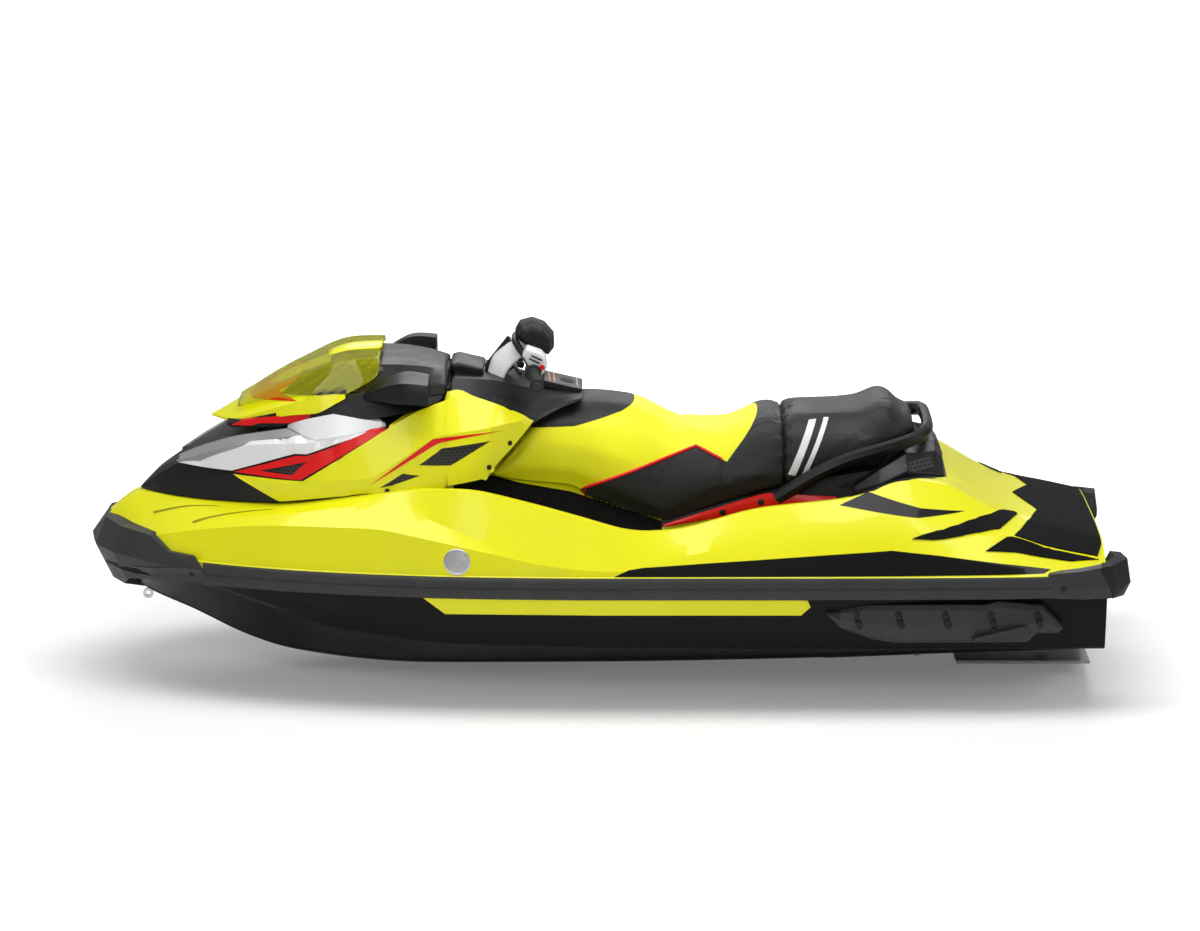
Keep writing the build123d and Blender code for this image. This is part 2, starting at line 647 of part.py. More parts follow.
# ---------------------------------------------------------------- seats
SEAT_EDGE = lane(
    (352, 236, 428), (102, 232, 374), (-190, 246, 280), (-519, 250, 388), (-580, 252, 402),
    smooth=False)
SEAT_SIDE = lane(
    (352, 236, 432), (217, 232, 560), (58, 222, 560), (-190, 230, 452), (-413, 238, 460),
    (-580, 240, 500), smooth=False)
SEAT_SHOULDER = lane(
    (352, 232, 436), (217, 205, 600), (130, 165, 628), (58, 130, 640), (-110, 130, 622),
    (-252, 158, 548), (-413, 170, 542), (-510, 172, 596), (-580, 172, 598))
SEAT_TOP = lane(
    (352, 0, 442), (217, 0, 604), (130, 0, 630), (58, 0, 655), (-110, 0, 637), (-187, 0, 600),
    (-252, 0, 570), (-333, 0, 558), (-413, 0, 562), (-462, 0, 590), (-510, 0, 612),
    (-580, 0, 610))
SEAT_PLACES = stations(352, 217, 130, 58, -110, -190, -252, -333, -413, -462, -510, -580)
PILLION_EDGE = lane(
    (-580.5, 252, 404), (-740, 248, 470), (-870, 240, 520), (-960, 200, 548), (-1003, 150, 560))
PILLION_SIDE = lane(
    (-580.5, 240, 502), (-740, 238, 520), (-870, 230, 556), (-960, 190, 580), (-1003, 140, 580))
PILLION_SHOULDER = lane(
    (-580.5, 172, 600), (-740, 175, 604), (-832, 172, 612), (-890, 165, 640), (-960, 150, 610),
    (-1003, 110, 590))
PILLION_TOP = lane(
    (-580.5, 0, 612), (-740, 0, 618), (-832, 0, 624), (-890, 0, 650), (-940, 0, 640),
    (-1003, 0, 600))
PILLION_PLACES = stations(-580.5, -740, -832, -870, -890, -940, -960, -1003)
SEAT_INSIDE = 226.0          # half the width of the pedestal slot in the seats
SEAT_FLOOR = 460.3           # underside of the seats
SEAT_GAP = 0.3               # gap between the console and the seat in front of it


def seat_slot(front, rear):
    """Room for the deck's pedestal inside a seat."""
    low = lane((front, SEAT_INSIDE, 200), (rear, SEAT_INSIDE, 200))
    side = lane((front, SEAT_INSIDE, SEAT_FLOOR - 26), (rear, SEAT_INSIDE, SEAT_FLOOR - 26))
    top = lane((front, SEAT_INSIDE - 46, SEAT_FLOOR), (rear, SEAT_INSIDE - 46, SEAT_FLOOR))
    return body_of([centre(low), low, side, top, centre(top)], stations(front, rear))


def make_driver_seat(console):
    solid = body_of([centre(SEAT_EDGE), SEAT_EDGE, SEAT_SIDE, SEAT_SHOULDER, SEAT_TOP],
                    SEAT_PLACES)
    return less(solid, seat_slot(400, -700), console, Pos(-SEAT_GAP, 0, -SEAT_GAP) * console)


def make_passenger_seat():
    solid = body_of([centre(PILLION_EDGE), PILLION_EDGE, PILLION_SIDE, PILLION_SHOULDER,
                     PILLION_TOP], PILLION_PLACES)
    return less(solid, seat_slot(-500, -1100))


# ---------------------------------------------------------------- rear fittings
TRIM_WALL = 7.0              # hip trim, wall beside the seats


def make_hip_trim(side, *neighbours):
    """A wall beside the seats, on a foot that reaches in under them to the deck."""
    low = lane((-196, 264, 272), (-519, 270, 330), (-745, 285, 352), smooth=False)
    high = lane((-196, 264, 277), (-519, 264, 382), (-745, 275, 372), smooth=False)
    step = between(low, high, 0.2)
    lines = [offset(low, -62), low, high, offset(high, -TRIM_WALL), offset(step, -TRIM_WALL),
             offset(step, -62)]
    return less(side_body(lines, stations(-196, -519, -745), side), *neighbours)


def make_rear_cowl(deck):
    edge = lane((-800, 300, 400), (-880, 330, 430), (-960, 330, 470), (-1088, 260, 446))
    brow = lane((-800, 296, 412), (-880, 300, 468), (-961, 270, 512), (-1065, 190, 505),
                (-1088, 170, 480))
    top = lane((-800, 262, 414), (-880, 262, 470), (-961, 180, 530), (-1065, 120, 522),
               (-1088, 110, 490))
    base = lane((-800, 262, 380), (-880, 262, 380), (-961, 200, 400), (-1088, 200, 400))
    lines = [centre(base), offset(edge, 0, -60), edge, brow, top, centre(top)]
    solid = body_of(lines, stations(-1006, -1088))
    return less(solid, deck)


def make_grab_handle(*neighbours):
    half = [(-560, 262, 366), (-660, 278, 440), (-780, 278, 498), (-960, 254, 540),
            (-1035, 180, 562)]
    points = half + [(x, -y, z) for x, y, z in reversed(half)]
    return less(bent_tube([at(*point) for point in points], GRAB_R, 40), *neighbours)


def make_engine():
    return box((-420, -125, -130), (230, 125, 330))


# ---------------------------------------------------------------- steering
STEER_BASE = (352.0, 0.0, 742.0)     # where the steering axis meets the console


def steer(x, y, z):
    """A place in the steering's own frame: x across the lean, z up the axis."""
    lean = math.radians(STEER_LEAN)
    base = at(*STEER_BASE)
    return Vector(base.X + x * math.cos(lean) - z * math.sin(lean), y,
                  base.Z + x * math.sin(lean) + z * math.cos(lean))


def steer_box(low, high):
    """A box in the steering's own frame."""
    corners = [[steer(x, y, z) for x, y in ((low[0], low[1]), (high[0], low[1]),
                                            (high[0], high[1]), (low[0], high[1]))]
               for z in (low[2], high[2])]
    faces = facet(corners[0]) + facet(corners[1])
    for i in range(4):
        j = (i + 1) % 4
        faces += facet([corners[0][i], corners[0][j], corners[1][j], corners[1][i]])
    solid = Solid(Shell(faces))
    return solid if solid.volume > 0 else -solid


COLUMN_R = 24.0
COLUMN_FOOT = -70.0
BAR_UP = 118.0


def make_column():
    return rod(steer(0, 0, COLUMN_FOOT), steer(0, 0, BAR_UP - BAR_R), COLUMN_R)


def column_socket():
    """Hole in the console for the column."""
    return rod(steer(0, 0, COLUMN_FOOT - 2), steer(0, 0, 160), COLUMN_R + 0.1)


BAR_POINTS = [(-105, 385, 105), (-72, 190, 112), (0, 70, BAR_UP)]


def make_handlebar(column):
    half = [steer(*point) for point in BAR_POINTS]
    other = [steer(x, -y, z) for x, y, z in reversed(BAR_POINTS)]
    return less(bent_tube(half + other, BAR_R, 30), column)


def along_bar(side, y):
    """A place on the straight outer run of the bar."""
    end, start = BAR_POINTS[0], BAR_POINTS[1]
    share = (y - start[1]) / (end[1] - start[1])
    return start[0] + share * (end[0] - start[0]), side * y, start[2] + share * (end[2] - start[2])


def make_grips(handlebar):
    grips = []
    for side in (1, -1):
        outer = steer(*along_bar(side, 392))
        inner = steer(*along_bar(side, 262))
        grips.append(less(rod(inner, outer, GRIP_R), handlebar))
    return Compound(grips)


def make_switches(handlebar):
    blocks = []
    for side in (1, -1):
        low, high = sorted((side * 180, side * 255))
        blocks.append(less(steer_box((-105, low, 86), (-50, high, 140)), handlebar))
    return Compound(blocks)


def make_levers(switches):
    levers = []
    for side in (1, -1):
        low, high = sorted((side * 225, side * 365))
        lever = steer_box((-30, low, 92), (-18, high, 106))
        low, high = sorted((side * 225, side * 250))
        arm = steer_box((-50 + GAP, low, 94), (-28, high, 104))
        levers.append(less(lever + arm, switches))
    return Compound(levers)


def make_steering_cover(column, handlebar):
    block = steer_box((-42, -70, 22), (52, 70, 132 - GAP))
    return less(block, column, handlebar)


def make_bar_pad(handlebar):
    block = steer_box((-92, -85, 132), (14, 85, 200))
    return less(block, handlebar)


def make_gauge():
    return prism([(486, 730), (380, 722), (380, 748), (470, 768), (484, 764)], -95, 95)


# ---------------------------------------------------------------- jet drive
NOZZLE_MOUTH = 56.0
NOZZLE_IN = 68.0
NOZZLE_WALL = 7.0
NOZZLE_REACH = 130.0
NOZZLE_LIP = 10.0            # nozzle, reach in front of its pins
PIVOT_X = -1440.0            # trim and steering pins
GATE_X = -1462.0             # reverse gate pins
GATE_LOW = 32.0
GATE_SPAN = 60.0
PIN_R = 7.0


def along(x_start, x_end, radius):
    """A round solid on the pump axis."""
    return rod(at(x_start, 0, PUMP_Z), at(x_end, 0, PUMP_Z), radius)


def make_pump_housing():
    casing = along(PUMP_FRONT, PUMP_REAR, BORE + PUMP_WALL)
    flange = along(PUMP_FRONT, PUMP_FRONT - 14, BORE + PUMP_WALL + FLANGE)
    bore = along(PUMP_FRONT + 5, PUMP_REAR + 70, BORE)
    throat = cone_rod(at(PUMP_REAR + 70, 0, PUMP_Z), at(PUMP_REAR - 5, 0, PUMP_Z), BORE, 60)
    hub = along(PUMP_REAR + 130, PUMP_REAR + 10, 34)
    pump = casing + flange - bore - throat + hub
    for vane in range(VANES):
        angle = 360 / VANES * vane
        blade = Box(70, 3, BORE + 2 - 30)
        place = Pos(at(PUMP_REAR + 85, 0, PUMP_Z)) * Rot(angle, 0, 0) * Pos(0, 0, (BORE + 2 + 30) / 2)
        pump = pump + place * blade
    return pump


def make_pump_brackets():
    return Compound([pump_bracket(side) for side in (1, -1)])


def across(x, y_start, y_end, radius):
    """A round solid across the pump axis."""
    start = at(x, 0, PUMP_Z)
    return rod(start + Vector(0, y_start, 0), start + Vector(0, y_end, 0), radius)


def pump_bracket(side):
    """Bracket beside the outlet that carries the trim ring and the reverse gate."""
    low, high = sorted((side * EAR_IN, side * EAR_OUT))
    middle = at(PUMP_REAR, 0, PUMP_Z)
    ear = Pos(middle.X - 24, (low + high) / 2, middle.Z) * Box(112, high - low, 34)
    root = Pos(middle.X + 22, side * (BORE + PUMP_WALL + EAR_OUT) / 2, middle.Z)
    root = root * Box(20, EAR_OUT - BORE - PUMP_WALL + 16, 34)
    holes = across(PIVOT_X, low - 20, high + 20, PIN_R + PIN_GAP)
    holes = holes + across(GATE_X, low - 20, high + 20, PIN_R + PIN_GAP)
    casing = along(PUMP_FRONT, PUMP_REAR - 10, BORE + PUMP_WALL + GAP)
    return less(ear + root, casing, holes)


def make_impeller():
    front = PUMP_FRONT - 20
    rear = PUMP_REAR + 140
    hub = cone_rod(at(rear, 0, PUMP_Z), at(front, 0, PUMP_Z), 34, 20)
    hub = hub + along(PUMP_REAR + 130 + GAP, rear, 12)
    solid = hub
    reach = BORE - IMPELLER_GAP
    for blade in range(BLADES):
        turn = Rot(360 / BLADES * blade, 0, 0)
        plate = Pos(0, 0, reach / 2) * Rot(0, 0, 38) * Box(78, 4, reach)
        solid = solid + Pos(at((front + rear) / 2, 0, PUMP_Z)) * turn * plate
    envelope = along(front + 20, PUMP_REAR + 100, reach)
    return solid & envelope


def make_trim_ring():
    ring = along(PIVOT_X - 12, PIVOT_X + 12, RING_OUT) - along(PIVOT_X - 20, PIVOT_X + 20, RING_IN)
    middle = at(PIVOT_X, 0, PUMP_Z)
    for side in (1, -1):
        ring = ring + across(PIVOT_X, side * (RING_OUT - 4), side * EAR_OUT, PIN_R)
    hole = rod(middle - Vector(0, 0, 120), middle + Vector(0, 0, 120), PIN_R + PIN_GAP)
    return ring - hole


def make_nozzle():
    front = at(PIVOT_X, 0, PUMP_Z) + Vector(NOZZLE_LIP, 0, 0)
    rear = at(PIVOT_X, 0, PUMP_Z) - Vector(NOZZLE_REACH, 0, 0)
    outer = cone_rod(front, rear, NOZZLE_IN + NOZZLE_WALL, NOZZLE_MOUTH + NOZZLE_WALL)
    inner = cone_rod(front + Vector(1, 0, 0), rear - Vector(1, 0, 0), NOZZLE_IN, NOZZLE_MOUTH)
    nozzle = outer - inner
    middle = at(PIVOT_X, 0, PUMP_Z)
    for side in (1, -1):
        inside = middle + Vector(0, 0, side * (NOZZLE_IN + 3))
        outside = middle + Vector(0, 0, side * (RING_OUT + 2))
        nozzle = nozzle + rod(inside, outside, PIN_R)
    return nozzle


def make_reverse_gate():
    """Curved bucket, raised, with an arm and a pin on each side."""
    centre_line = at(GATE_X, 0, PUMP_Z)
    plane = Plane(origin=centre_line - Vector(0, ARM_OUT, 0), x_dir=(-1, 0, 0), z_dir=(0, 1, 0))
    outer = GATE_IN + GATE_WALL

    def sector(r_low, r_high, start, span, width):
        pie = Polyline((0, 0), polar(2 * r_high, start), polar(2 * r_high, start + span / 2),
                       polar(2 * r_high, start + span), close=True)
        flat = (Circle(r_high) - Circle(r_low)) & make_face(pie)
        return extrude(plane * flat, width)

    gate = sector(GATE_IN, outer, GATE_LOW, GATE_SPAN, 2 * ARM_OUT)
    for side in (1, -1):
        low, high = sorted((side * ARM_IN, side * ARM_OUT))
        arm = sector(1, outer, GATE_LOW + 8, GATE_SPAN - 30, ARM_OUT - ARM_IN)
        if side > 0:
            arm = Pos(0, ARM_OUT + ARM_IN, 0) * arm
        hub = across(GATE_X, low, high, 18)
        pin = across(GATE_X, side * EAR_IN, side * (ARM_IN + 2), PIN_R)
        gate = gate + arm + hub + pin
    return gate


def polar(radius, degrees):
    turn = math.radians(degrees)
    return radius * math.cos(turn), radius * math.sin(turn)


# ---------------------------------------------------------------- bottom fittings
PLATE = 10.0                 # ride plate, thickness at its edges
PLATE_KEEL = 24.0            # ride plate, thickness on the centre line
PLATE_REAR = -1580.0
PLATE_FRONT = PUMP_FRONT - GAP


def make_ride_plate():
    """Plate with a shallow keel that closes the pump tunnel from below."""
    top = beside_axis(-PLATE_TOP)
    high = lane((PLATE_REAR, 0, top), (PLATE_FRONT, 0, top))
    edge = offset(high, across_tunnel(TUNNEL_HALF - GAP))
    low_edge = offset(edge, 0, -PLATE / SCALE[2])
    keel = offset(high, 0, -PLATE_KEEL / SCALE[2])
    return body_of([high, edge, low_edge, keel], [PLATE_REAR, PLATE_FRONT])


def make_intake_grate(hull):
    half = across_tunnel(DUCT_HALF - GAP)
    bars = None
    for place, rise in ((-45, 9), (-15, 2), (15, 2), (45, 9)):
        bar = prism([(-700, rise - 230), (-1030, rise - 216), (-1030, -196), (-700, -210)],
                    place - 4, place + 4)
        bars = bar if bars is None else bars + bar
    for place, low in ((-716, -216), (-1018, -204)):
        bars = bars + prism([(place, low), (place - 12, low), (place - 12, low + 8),
                             (place, low + 8)], -half, half)
    return less(bars, hull)


def make_eye(place, axis, foot_end):
    """A flat eye whose hole runs along an axis, on a short foot."""
    place = at(*place)
    plane = Plane(origin=place, z_dir=axis)
    ring = extrude(plane * Circle(EYE_HOLE + EYE_WALL), EYE_THICK / 2, both=True)
    foot = rod(place, at(*foot_end), EYE_FOOT)
    hole = extrude(plane * Circle(EYE_HOLE), EYE_THICK, both=True)
    return ring + foot - hole


# ---------------------------------------------------------------- the whole craft
def make_all():
    nodes = {}
    nodes["hull"] = hull = make_hull()
    deck = make_whole_deck()
    nodes["deck"] = make_deck(deck)
    nodes["front_bumper"] = bumper = make_front_bumper(hull, deck)
    lid = make_lid()
    cowl = make_front_cowl(deck)
    openings = tray_cut() + column_socket() + lid_barrel(PIN_GAP) + lid
    console = make_console(deck, openings)
    nodes["front_cowl"] = cowl
    nodes["console"] = console
    nodes["glovebox_lid"] = lid
    nodes["hood"] = make_hood()
    nodes["nose_beak"] = beak = make_beak()
    nodes["visor"] = make_visor(beak)
    nodes["engine_block"] = make_engine()
    nodes["ride_plate"] = make_ride_plate()
    nodes["intake_grate"] = make_intake_grate(hull)
    nodes["pump_housing"] = make_pump_housing()
    nodes["pump_brackets"] = make_pump_brackets()
    nodes["impeller"] = make_impeller()
    nodes["trim_ring"] = make_trim_ring()
    nodes["steering_nozzle"] = make_nozzle()
    nodes["reverse_gate"] = make_reverse_gate()
    nodes["driver_seat"] = make_driver_seat(console)
    nodes["passenger_seat"] = make_passenger_seat()
    nodes["rear_cowl"] = rear_cowl = make_rear_cowl(deck)
    nodes["grab_handle"] = handle = make_grab_handle(rear_cowl, deck)
    nodes["steering_column"] = column = make_column()
    nodes["handlebar"] = bar = make_handlebar(column)
    nodes["grips"] = make_grips(bar)
    nodes["switch_housings"] = switches = make_switches(bar)
    nodes["levers"] = make_levers(switches)
    nodes["steering_cover"] = make_steering_cover(column, bar)
    nodes["bar_pad"] = make_bar_pad(bar)
    nodes["gauge"] = less(make_gauge(), console, column_socket())
    nodes["bow_eye"] = less(make_eye((1478, 0, -12), (0, 1, 0), (1468, 0, 28)), hull, bumper)
    nodes["tow_eye"] = less(make_eye((-1602, 0, 122), (0, 0, 1), (-1578, 0, 122)), hull)
    glasses = []
    eyes = []
    for name, side in (("port", 1), ("starboard", -1)):
        nodes["gunwale_" + name] = make_gunwale(deck, side)
        corner = make_corner_bumper(side, hull, deck)
        nodes["corner_bumper_" + name] = corner
        nodes["rub_rail_" + name] = make_rub_rail(side, hull, deck, bumper, corner)
        nodes["sponson_" + name] = make_sponson(side, hull)
        nodes["side_cowl_" + name] = make_side_cowl(side, deck)
        nodes["nose_insert_" + name] = insert = make_nose_insert(side)
        nodes["vent_surround_" + name] = make_vent_surround(side, insert)
        nodes["mirror_" + name] = make_mirror(side)
        nodes["hip_trim_" + name] = make_hip_trim(side, deck, handle)
        glasses.append(make_mirror_glass(side))
        eyes.append(less(make_eye((-1600, side * 330, 70), (0, 1, 0), (-1578, side * 330, 70)), hull))
    nodes["mirror_glasses"] = Compound(glasses)
    nodes["stern_eyes"] = Compound(eyes)
    return nodes


os.makedirs("parts", exist_ok=True)
for node_name, shape in make_all().items():
    export_step(shape, "parts/" + node_name + ".step")
    print(node_name, len(shape.solids()), round(shape.volume / 1e6, 2))
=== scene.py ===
import json
import math

import bmesh
import bpy
from mathutils import Matrix, Vector


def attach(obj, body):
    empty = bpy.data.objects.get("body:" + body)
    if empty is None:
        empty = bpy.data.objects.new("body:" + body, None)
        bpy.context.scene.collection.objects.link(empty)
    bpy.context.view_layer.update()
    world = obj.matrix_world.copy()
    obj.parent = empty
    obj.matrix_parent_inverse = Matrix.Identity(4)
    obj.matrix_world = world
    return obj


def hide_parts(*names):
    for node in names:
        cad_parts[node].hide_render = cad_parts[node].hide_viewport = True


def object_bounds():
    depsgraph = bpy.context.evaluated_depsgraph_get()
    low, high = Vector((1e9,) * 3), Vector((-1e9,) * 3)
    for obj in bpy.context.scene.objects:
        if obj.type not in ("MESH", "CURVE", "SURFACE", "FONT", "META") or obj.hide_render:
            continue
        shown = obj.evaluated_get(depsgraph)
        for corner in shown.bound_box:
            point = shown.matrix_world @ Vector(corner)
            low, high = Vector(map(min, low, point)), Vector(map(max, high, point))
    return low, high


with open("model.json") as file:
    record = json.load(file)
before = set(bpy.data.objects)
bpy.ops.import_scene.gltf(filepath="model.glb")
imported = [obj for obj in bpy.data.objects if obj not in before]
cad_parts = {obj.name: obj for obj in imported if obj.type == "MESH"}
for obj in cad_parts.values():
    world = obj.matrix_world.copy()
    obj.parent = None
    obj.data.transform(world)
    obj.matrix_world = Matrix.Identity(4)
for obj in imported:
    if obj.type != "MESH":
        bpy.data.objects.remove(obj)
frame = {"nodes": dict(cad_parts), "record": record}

# Looks of a sit-down personal watercraft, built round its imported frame.
# Frame: +X to the bow, +Y to port, +Z up, origin amidships at the waterline.
# Shape lines are drawn in millimetres, as on a loft plan, and stretched to the frame.

CAD_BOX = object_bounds()
DRAWN_LOW = (-1659.0, -612.5, -250.0)     # corners of the frame at the drawn size
DRAWN_HIGH = (1654.0, 612.5, 908.2)
MM = 0.001
MERGE = 1e-5            # metres within which points count as one
HARD_CREASE = 0.9       # from this weight on, an edge is also shaded sharp
SHARP_ANGLE = 38.0      # degrees between faces, the same for shading
SIDES = (("port", 1), ("starboard", -1))
NODES = frame["nodes"]


def place(point):
    """A drawn point, in millimetres, as a place in the frame, in metres."""
    spots = []
    for value, low, high, start, end in zip(point, DRAWN_LOW, DRAWN_HIGH, *CAD_BOX):
        spots.append(start + (value - low) / (high - low) * (end - start))
    return Vector(spots)


# ---------------------------------------------------------------- materials
class Finish:
    """A material that is built up from noise, bump and wear on object coordinates."""

    def __init__(self, name, colour, roughness, **sockets):
        self.material = bpy.data.materials.new(name)
        self.material.use_nodes = True
        self.material.diffuse_color = (*colour, 1)
        self.nodes = self.material.node_tree.nodes
        self.links = self.material.node_tree.links
        self.shader = self.nodes["Principled BSDF"]
        self.colour = colour
        self.set("Base Color", (*colour, 1))
        self.set("Roughness", roughness)
        for socket, value in sockets.items():
            self.set(socket.replace("_", " "), value)
        self.coords = self.node("ShaderNodeTexCoord").outputs["Object"]
        self.last = None
        self.normal = None

    def node(self, kind, **values):
        """A new node, with its settings or the values of its inputs."""
        made = self.nodes.new(kind)
        for key, value in values.items():
            if hasattr(made, key):
                setattr(made, key, value)
            else:
                made.inputs[key.replace("_", " ")].default_value = value
        return made

    def set(self, socket, value):
        self.shader.inputs[socket].default_value = value

    def link(self, output, socket):
        self.links.new(output, socket)

    def noise(self, scale, detail=4.0, stretch=(1, 1, 1)):
        source = self.coords
        if stretch != (1, 1, 1):
            mapping = self.node("ShaderNodeMapping")
            mapping.inputs["Scale"].default_value = stretch
            self.link(source, mapping.inputs["Vector"])
            source = mapping.outputs["Vector"]
        made = self.node("ShaderNodeTexNoise", Scale=scale, Detail=detail)
        self.link(source, made.inputs["Vector"])
        return made.outputs["Fac"]

    def cells(self, scale, feature="F1"):
        made = self.node("ShaderNodeTexVoronoi", feature=feature, Scale=scale)
        self.link(self.coords, made.inputs["Vector"])
        return made.outputs["Distance"]

    def span(self, source, low, high, start=0.3, end=0.7):
        """The run of a value from start to end, spread over low to high."""
        made = self.node("ShaderNodeMapRange")
        limits = (("From Min", start), ("From Max", end), ("To Min", low), ("To Max", high))
        for key, value in limits:
            made.inputs[key].default_value = value
        self.link(source, made.inputs["Value"])
        return made.outputs["Result"]

    def math(self, operation, first, second):
        made = self.node("ShaderNodeMath", operation=operation)
        for socket, value in zip(made.inputs, (first, second)):
            if isinstance(value, float):
                socket.default_value = value
            else:
                self.link(value, socket)
        return made.outputs["Value"]

    def mottle(self, amount, scale, detail=3.0):
        """Light and dark patches in the colour."""
        shade = self.node("ShaderNodeHueSaturation")
        shade.inputs["Color"].default_value = (*self.colour, 1)
        level = self.span(self.noise(scale, detail), 1 - amount, 1 + amount)
        self.link(level, shade.inputs["Value"])
        self.link(shade.outputs["Color"], self.shader.inputs["Base Color"])
        self.last = shade.outputs["Color"]
        return self

    def tint(self, factor, colour):
        """Another colour where the factor is high, over the colours laid before."""
        mix = self.node("ShaderNodeMix", data_type="RGBA")
        if self.last is None:
            mix.inputs[6].default_value = (*self.colour, 1)
        else:
            self.link(self.last, mix.inputs[6])
        mix.inputs[7].default_value = (*colour, 1)
        self.link(factor, mix.inputs[0])
        self.link(mix.outputs[2], self.shader.inputs["Base Color"])
        self.last = mix.outputs[2]
        return self

    def sheen_patches(self, low, high, scale):
        """Roughness that varies over the surface."""
        self.link(self.span(self.noise(scale), low, high), self.shader.inputs["Roughness"])
        return self

    def bump(self, height, strength, distance):
        """Relief on top of any relief laid before."""
        made = self.node("ShaderNodeBump")
        made.inputs["Strength"].default_value = strength
        made.inputs["Distance"].default_value = distance
        self.link(height, made.inputs["Height"])
        if self.normal is not None:
            self.link(self.normal, made.inputs["Normal"])
        self.normal = made.outputs["Normal"]
        self.link(self.normal, self.shader.inputs["Normal"])
        return self


def gelcoat(name, colour, coat=0.3):
    """Sprayed gelcoat: gloss under a clear coat with faint orange peel."""
    dark = max(colour) <= 0.1
    finish = Finish(name, colour, 0.34, Coat_Weight=coat, Coat_Roughness=0.06,
                    Specular_IOR_Level=0.12 if dark else 0.25)
    finish.mottle(0.03, 2.5).sheen_patches(0.28, 0.40, 5.0)
    return finish.bump(finish.noise(90.0, 2.0), 0.05, 0.0006).material


def moulded(name, colour, roughness, grain=0.25, scale=900.0):
    """Moulded plastic with a spark-eroded grain."""
    finish = Finish(name, colour, roughness, Specular_IOR_Level=0.32)
    finish.mottle(0.12, 9.0).sheen_patches(roughness - 0.05, roughness + 0.08, 14.0)
    scuffs = finish.span(finish.noise(34.0, 8.0, (1, 1, 4)), 0.0, 0.5, 0.60, 0.78)
    finish.tint(scuffs, tuple(min(1.0, 1.6 * part + 0.01) for part in colour))
    return finish.bump(finish.cells(scale), grain, 0.0004).material


def vinyl(name, colour, roughness=0.5):
    """Marine vinyl with a fine leather grain."""
    finish = Finish(name, colour, roughness, Specular_IOR_Level=0.3, Sheen_Weight=0.05)
    finish.mottle(0.05, 6.0).sheen_patches(roughness - 0.05, roughness + 0.06, 10.0)
    finish.bump(finish.cells(420.0), 0.22, 0.0006)
    return finish.bump(finish.noise(36.0, 5.0), 0.12, 0.0015).material


def metal(name, colour, roughness, grain=0.2, scale=160.0):
    """Cast or brushed metal with a handled sheen."""
    finish = Finish(name, colour, roughness, Metallic=1.0)
    finish.mottle(0.12, 16.0).sheen_patches(roughness - 0.08, roughness + 0.10, 22.0)
    return finish.bump(finish.noise(scale, 6.0), grain, 0.0006).material


def flake_paint(name, colour, metallic):
    """Metallic paint with fine flakes under a clear coat."""
    finish = Finish(name, colour, 0.36, Metallic=metallic, Coat_Weight=0.4, Coat_Roughness=0.06)
    finish.mottle(0.05, 420.0, 1.0).sheen_patches(0.30, 0.42, 6.0)
    return finish.bump(finish.noise(90.0, 2.0), 0.04, 0.0005).material


def carpet_rubber(name, colour):
    """Deck mat: closed-cell rubber with a fine diamond groove."""
    finish = Finish(name, colour, 0.78, Specular_IOR_Level=0.08)
    finish.mottle(0.14, 30.0)
    grooves = finish.node("ShaderNodeTexWave", wave_type="BANDS", bands_direction="DIAGONAL",
                          Scale=36.0, Distortion=0.0)
    finish.link(finish.coords, grooves.inputs["Vector"])
    finish.bump(grooves.outputs["Fac"], 0.5, 0.0015)
    return finish.bump(finish.noise(300.0, 4.0), 0.3, 0.0008).material


YELLOW = (0.83, 0.81, 0.006)
BLACK = (0.006, 0.006, 0.0065)
FINISHES = {
    "yellow_gelcoat": gelcoat("yellow_gelcoat", YELLOW),
    "hull_black": gelcoat("hull_black", (0.005, 0.005, 0.0055), 0.02),
    "bumper_grey": moulded("bumper_grey", (0.036, 0.036, 0.037), 0.44),
    "black_cover": moulded("black_cover", BLACK, 0.38),
    "silver_panel": flake_paint("silver_panel", (0.86, 0.865, 0.87), 0.2),
    "red_panel": gelcoat("red_panel", (0.74, 0.006, 0.006)),
    "driver_vinyl": vinyl("driver_vinyl", YELLOW),
    "passenger_vinyl": vinyl("passenger_vinyl", (0.012, 0.012, 0.013)),
    "white_cover": gelcoat("white_cover", (0.72, 0.73, 0.74)),
    "rubber_black": moulded("rubber_black", (0.008, 0.008, 0.008), 0.62, 0.4, 500.0),
    "cast_alloy": metal("cast_alloy", (0.42, 0.43, 0.44), 0.42, 0.35),
    "stainless": metal("stainless", (0.62, 0.62, 0.63), 0.24, 0.08, 400.0),
    "engine_alloy": metal("engine_alloy", (0.16, 0.16, 0.17), 0.5, 0.3),
    "mirror_glass": metal("mirror_glass", (0.85, 0.86, 0.88), 0.12, 0.01, 40.0),
}
DECK_MAT = carpet_rubber("deck_mat", (0.008, 0.008, 0.009))
# black for the deck's printed graphics, and also painted shade in the sponsons' bolt slots
GRAPHIC_BLACK_AND_SLOT_SHADE = gelcoat("graphic_black_and_slot_shade", (0.006, 0.006, 0.006), 0.2)
GROOVE_SHADE = gelcoat("groove_shade", (0.30, 0.29, 0.004), 0.1)
# the silver paint made darker: painted shade on the nose facet; the glovebox's third strip is laid
# in it too
SHADED_SILVER = flake_paint("shaded_silver", (0.33, 0.335, 0.34), 0.3)
STRIP_GREY = moulded("strip_grey", (0.05, 0.05, 0.052), 0.4)
BLACK_BOLT = moulded("black_bolt", (0.012, 0.012, 0.012), 0.3, 0.05)
GRIP_RUBBER = moulded("grip_rubber", (0.02, 0.02, 0.021), 0.6, 0.4, 600.0)
COPPER = metal("copper_trim", (0.50, 0.22, 0.10), 0.34, 0.1)


def tinted_visor():
    """Tinted screen: clear acrylic that colours what lies under it."""
    finish = Finish("visor_tint", (0.66, 0.66, 0.03), 0.05, Transmission_Weight=0.85, IOR=1.04,
                    Specular_IOR_Level=0.3, Coat_Weight=0.3, Coat_Roughness=0.03)
    finish.mottle(0.04, 3.0)
    return finish.bump(finish.noise(20.0, 2.0), 0.02, 0.001).material


FINISHES["visor_tint"] = tinted_visor()


